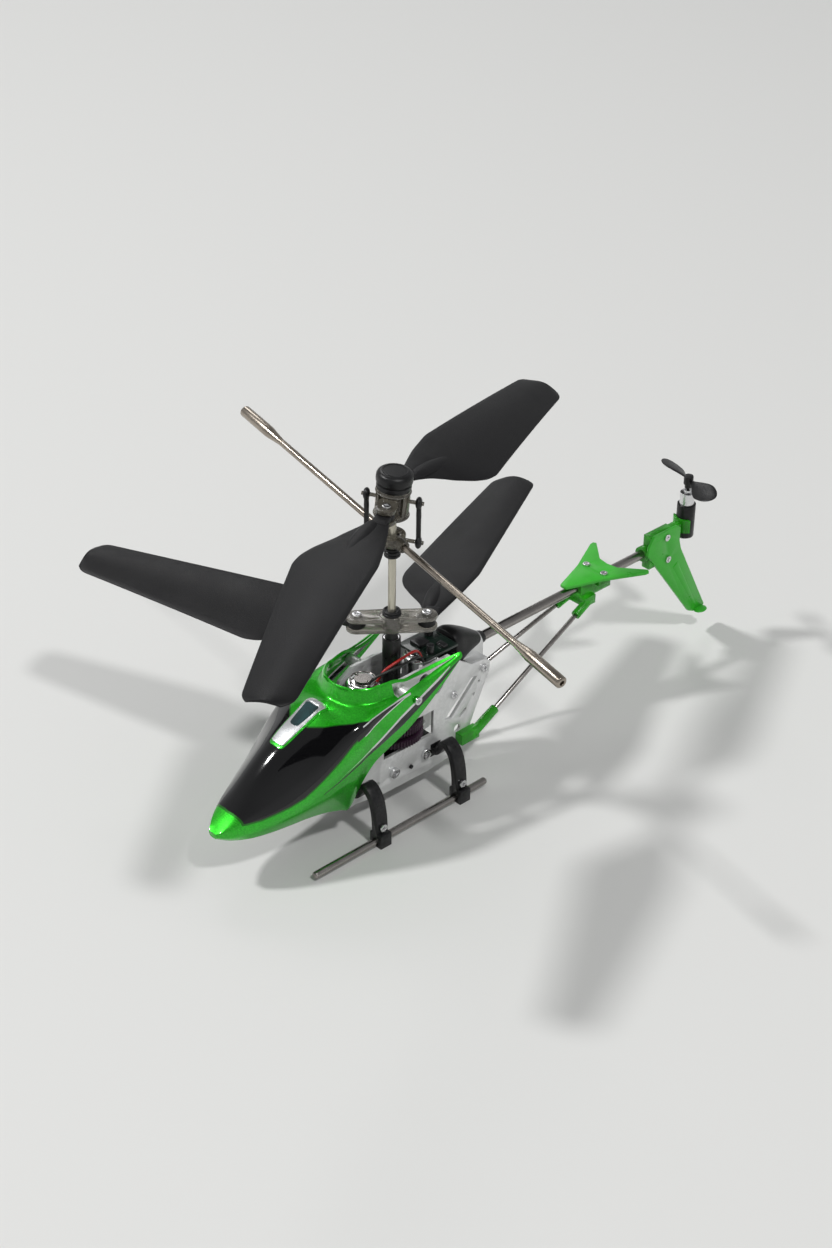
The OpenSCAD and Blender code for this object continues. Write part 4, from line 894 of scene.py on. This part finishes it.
# %% Rounded copies
WIDTHS = {
    "left_side_plate": 0.12, "right_side_plate": 0.12, "lower_bridge": 0.25, "frame_screws": 0.08,
    "motor_deck": 0.25, "shaft_bearings": 0.08, "front_motor": 0.3, "rear_motor": 0.3,
    "front_pinion": 0.05, "rear_pinion": 0.05, "battery_tray": 0.3, "battery": 0.6,
    "circuit_board": 0.08, "board_components": 0.12, "switch_block": 0.2, "switch_knob": 0.12,
    "charge_socket": 0.15, "nose_light": 0.3, "canopy_posts": 0.12, "canopy_screws": 0.08,
    "left_skid": 0.12, "right_skid": 0.12, "front_leg": 0.3, "rear_leg": 0.3, "skid_screws": 0.08,
    "boom_clamp": 0.3, "tail_boom": 0.1, "left_support_rod": 0.06, "right_support_rod": 0.06,
    "left_rod_bracket": 0.15, "right_rod_bracket": 0.15, "stabiliser_clamp": 0.18,
    "stabiliser": 0.15, "fin_clamp": 0.18, "fin": 0.18, "tail_screws": 0.06, "motor_sleeve": 0.12,
    "tail_motor": 0.15, "inner_shaft": 0.1, "inner_gear": 0.04, "head_pin": 0.08,
    "rotor_head": 0.18, "head_screws": 0.08, "flybar_hub": 0.15, "flybar": 0.12, "left_link": 0.12,
    "right_link": 0.12, "outer_shaft": 0.1, "outer_gear": 0.04, "lower_hub": 0.2,
    "lower_screws": 0.08}
carried = {node: body for body, nodes in frame["record"]["behaviour"]["bodies"].items()
           for node in nodes}
slots = {part["node"]: part["material_slot"] for part in frame["record"]["subparts"]}


def bare_copy(node):
    """A loose copy of a frame node's mesh, with no parent and no tags."""
    piece = frame["nodes"][node].copy()
    piece.data = frame["nodes"][node].data.copy()
    bpy.context.scene.collection.objects.link(piece)
    piece.parent = None
    piece.matrix_world = Matrix.Identity(4)
    for key in list(piece.keys()):
        del piece[key]
    return piece


def rounded_copy(node):
    piece = bare_copy(node)
    clean_mesh(piece, flat=0.4)
    soft_edges(piece, WIDTHS[node], 2, 28)
    smooth(piece, 34)
    look = "dark_smoke" if node in ("rotor_head", "flybar_hub") else slots[node]
    return dress(piece, node + "_made", carried[node], look, node, slot=slots[node])


for node in WIDTHS:
    if max(box_difference(rounded_copy(node), node)) > 0.3:
        print("check", node)
print(len(WIDTHS), "rounded pieces")

# %% [markdown]
# ## Small parts that the solids leave plain
# These are the parts a hand would notice: the soft boot at the boom's root, the domed cap, the
# collars on the mast, round link ends, the paddles of the tail rotor, and the fin's bent foot.
# Each starts as a primitive at its real size and is shaped point by point or with a modifier.

# %% Primitives in millimetres
def rod_piece(radius, length, place, direction=(0, 0, 1), sides=40, top_radius=None):
    """A round bar or cone whose middle is at place."""
    deselect_all()
    top = radius if top_radius is None else top_radius
    bpy.ops.mesh.primitive_cone_add(vertices=sides, radius1=radius * MM, radius2=top * MM,
                                    depth=length * MM)
    bar = bpy.context.object
    spin = Vector(direction).to_track_quat("Z", "Y").to_matrix().to_4x4()
    bake_place(bar, Matrix.Translation(Vector(place) * MM) @ spin)
    return bar


def ring_piece(radius, thickness, place, matrix=Matrix.Identity(4)):
    deselect_all()
    bpy.ops.mesh.primitive_torus_add(major_radius=radius * MM, minor_radius=thickness * MM,
                                     major_segments=48, minor_segments=12)
    ring = bpy.context.object
    bake_place(ring, matrix @ Matrix.Translation(Vector(place) * MM))
    return ring


def ball_piece(sizes, place, matrix=Matrix.Identity(4)):
    deselect_all()
    bpy.ops.mesh.primitive_uv_sphere_add(segments=32, ring_count=16, radius=1)
    ball = bpy.context.object
    ball.data.transform(Matrix.Diagonal((*[size * MM for size in sizes], 1)))
    bake_place(ball, matrix @ Matrix.Translation(Vector(place) * MM))
    return ball


def joined(*parts):
    only(parts[0])
    for part in parts[1:]:
        part.select_set(True)
    bpy.ops.object.join()
    return parts[0]


# %% The boot at the boom's root
deselect_all()
bpy.ops.mesh.primitive_cylinder_add(vertices=32, radius=1, depth=1, end_fill_type="NGON")
boot = bpy.context.object
bpy.ops.object.mode_set(mode="EDIT")
bpy.ops.mesh.select_all(action="SELECT")
bpy.ops.mesh.bisect(plane_co=(0, 0, 0), plane_no=(0, 0, 1))
for height in [k / 16 - 0.5 for k in range(1, 16)]:
    bpy.ops.mesh.select_all(action="SELECT")
    bpy.ops.mesh.bisect(plane_co=(0, 0, height), plane_no=(0, 0, 1))
bpy.ops.object.mode_set(mode="OBJECT")
BOOT = [  # y, half width, lowest and highest z
    (20.9, 4.7, 33.4, 44.4), (23, 4.7, 33.4, 44.6), (25.4, 4.2, 33.8, 43.9), (28, 3.8, 34.6, 42.6),
    (31, 3.2, 35.0, 40.8), (34, 2.3, 34.6, 38.7), (36, 1.8, 34.5, 38.0)]
for vertex in boot.data.vertices:
    y, half, low, high = blend_points(BOOT, vertex.co.z + 0.5)
    angle = math.atan2(vertex.co.y, vertex.co.x)
    c, sn = math.cos(angle), math.sin(angle)
    square = 0.55 + 0.45 * smooth_step(y, 22, 34)
    x = math.copysign(abs(c) ** square, c) * half
    z = (low + high) / 2 + math.copysign(abs(sn) ** square, sn) * (high - low) / 2
    vertex.co = Vector((x, y, z)) * MM
clean_mesh(boot, flat=0, merge=0.002, outward=True)
soft_edges(boot, 0.5, 3, 50)
smooth(boot, 60)
dress(boot, "boom_boot", "airframe", "black_rubber", "boom_cover")

# %% Cap, collars and link ends
cap = rod_piece(5.1, 4, (0, 0, 0), sides=64)
soft_edges(cap, 1.5, 6, 50)
dimple = ring_piece(3.4, 0.14, (0, 0, 2.0))
cap = joined(cap, dimple)
bake_place(cap, in_head @ Matrix.Translation((0, 0, 6.6 * MM)))
smooth(cap, 40)
dress(cap, "head_cap_dome", "rotor_head", "black_plastic", "head_cap")

throat = rod_piece(4.82, 1.5, (0, 0, 0), sides=48)
bake_place(throat, in_head @ Matrix.Translation((0, 0, 4.3 * MM)))
soft_edges(throat, 0.2, 2, 50)
smooth(throat, 40)
dress(throat, "head_throat", "rotor_head", "black_plastic")
lower_rim = ring_piece(4.72, 0.3, (0, 0, -4.6), in_head)
upper_rim = ring_piece(4.72, 0.26, (0, 0, 2.6), in_head)
rims = joined(lower_rim, upper_rim)
smooth(rims, 60)
dress(rims, "head_rims", "rotor_head", "smoke")

collar = joined(ring_piece(1.75, 0.6, (0, 0, 78.4)), ring_piece(1.75, 0.6, (0, 0, 79.4)),
                ring_piece(1.6, 0.45, (0, 0, 80.2)))
smooth(collar, 60)
dress(collar, "shaft_collar", "upper_rotor", "black_plastic")
lower_collar = joined(ring_piece(2.2, 0.5, (0, 0, 59.4)), ring_piece(2.1, 0.42, (0, 0, 60.2)),
                      rod_piece(2.0, 2.2, (0, 0, 59.2)))
smooth(lower_collar, 60)
dress(lower_collar, "lower_collar", "lower_rotor", "black_plastic")

for side in ("left", "right"):
    low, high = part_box(side + "_link")
    middle = (low + high) / 2 / MM
    across = Vector((middle.x, middle.y, 0)).normalized()
    turn_out = Matrix.Rotation(math.atan2(across.y, across.x), 4, "Z")
    knobs = []
    for z in (low.z / MM + 1.5, high.z / MM - 1.5):
        knob = ball_piece((0.95, 1.75, 1.75), (0, 0, 0), turn_out)
        knob.data.transform(Matrix.Translation(Vector((middle.x, middle.y, z)) * MM))
        knobs.append(knob)
    waist = ball_piece((0.72, 0.85, 3.6), (0, 0, 0), turn_out)
    waist.data.transform(Matrix.Translation(Vector((middle.x, middle.y, high.z / MM - 5.2)) * MM))
    ends = joined(*knobs, waist)
    smooth(ends, 60)
    dress(ends, side + "_link_ends", side + "_link", "black_plastic")

# %% The tail rotor's paddles
TAIL_Y, TAIL_Z, TAIL_TURN = 124.5, 55.0, 163
paddles = [rod_piece(1.5, 3, (0, TAIL_Y, TAIL_Z)),
           rod_piece(0.4, 9.6, (0, TAIL_Y, 50.6), sides=16),
           rod_piece(1.05, 1.2, (0, TAIL_Y, 52.9))]
soft_edges(paddles[0], 0.3, 2, 50)
for half_turn in (0, 180):
    deselect_all()
    bpy.ops.mesh.primitive_uv_sphere_add(segments=40, ring_count=20, radius=1)
    paddle = bpy.context.object
    for vertex in paddle.data.vertices:
        along = (vertex.co.x + 1) / 2
        wide = 1.2 + 2.5 * smooth_step(along, 0.0, 0.62)
        x = 0.9 + 13.4 * along
        twist = math.radians(30 - 12 * along)
        y, z = vertex.co.y * wide, vertex.co.z * 0.42 + 0.35 * (1 - vertex.co.y ** 2) * along
        c, sn = math.cos(twist), math.sin(twist)
        vertex.co = Vector((x, y * c - z * sn, y * sn + z * c)) * MM
    hub = Matrix.Translation((0, TAIL_Y * MM, TAIL_Z * MM))
    bake_place(paddle, hub @ turn(TAIL_TURN + half_turn, "Z"))
    paddles.append(paddle)
tail_rotor = joined(*paddles)
smooth(tail_rotor, 50)
dress(tail_rotor, "tail_rotor_paddles", "tail_rotor", "black_plastic", "tail_propeller")
print("tail rotor differs by", [round(g, 2) for g in box_difference(tail_rotor, "tail_propeller")])

# %% The fin's foot and rib
outer_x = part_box("fin")[1].x / MM
foot = ball_piece((1.9, 2.5, 0.55), (outer_x + 0.9, 131.0, 7.1))
rib_x, FLATTEN = outer_x - 0.1, 0.3
rib_start, rib_end = Vector((rib_x, 117.8, 28.5)), Vector((rib_x, 129.4, 8.8))
along_rib = rib_end - rib_start
rib = rod_piece(1.3, along_rib.length, (rib_start + rib_end) / 2, along_rib, top_radius=0.55)
for vertex in rib.data.vertices:
    vertex.co.x = rib_x * MM + (vertex.co.x - rib_x * MM) * FLATTEN
soft_edges(rib, 0.3, 3, 40)
details = joined(foot, rib)
smooth(details, 60)
dress(details, "fin_foot", "airframe", "green_matte")

# %% Ends of the motors
for node in ("front_motor", "rear_motor"):
    low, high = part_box(node)
    middle = (low + high) / 2 / MM
    top = high.z / MM
    tabs = joined(rod_piece(2.4, 0.5, (middle.x, middle.y, top), sides=32),
                  ring_piece(3.6, 0.25, (middle.x, middle.y, top - 0.05)),
                  ball_piece((0.7, 0.45, 0.5), (middle.x + 2.6, middle.y, top + 0.2)),
                  ball_piece((0.7, 0.45, 0.5), (middle.x - 2.6, middle.y, top + 0.2)))
    smooth(tabs, 50)
    dress(tabs, node + "_end", "airframe", "steel")

# %% [markdown]
# ## The motor wires
# Each motor has a red and a black lead. The solid holds both, so its copy is separated into
# loose parts, and each part is coloured by its place: red is the lead on the left.

# %% Two leads
FINISHES["black_wire"] = finish("black_wire_jacket", (0.012, 0.012, 0.012), 0.32, 0, grain, FINE,
                                0.02)
wires = bare_copy("motor_wires")
clean_mesh(wires, flat=0)
only(wires)
bpy.ops.mesh.separate(type="LOOSE")


def mean_x(lead):
    return sum(v.co.x for v in lead.data.vertices) / len(lead.data.vertices)


leads = sorted(bpy.context.selected_objects, key=mean_x)
print("leads:", len(leads))
for index, lead in enumerate(leads):
    smooth(lead, 60)
    look = "wires" if index % 2 == 0 else "black_wire"
    dress(lead, f"motor_lead_{index}", "airframe", look, "motor_wires", slot="wires")
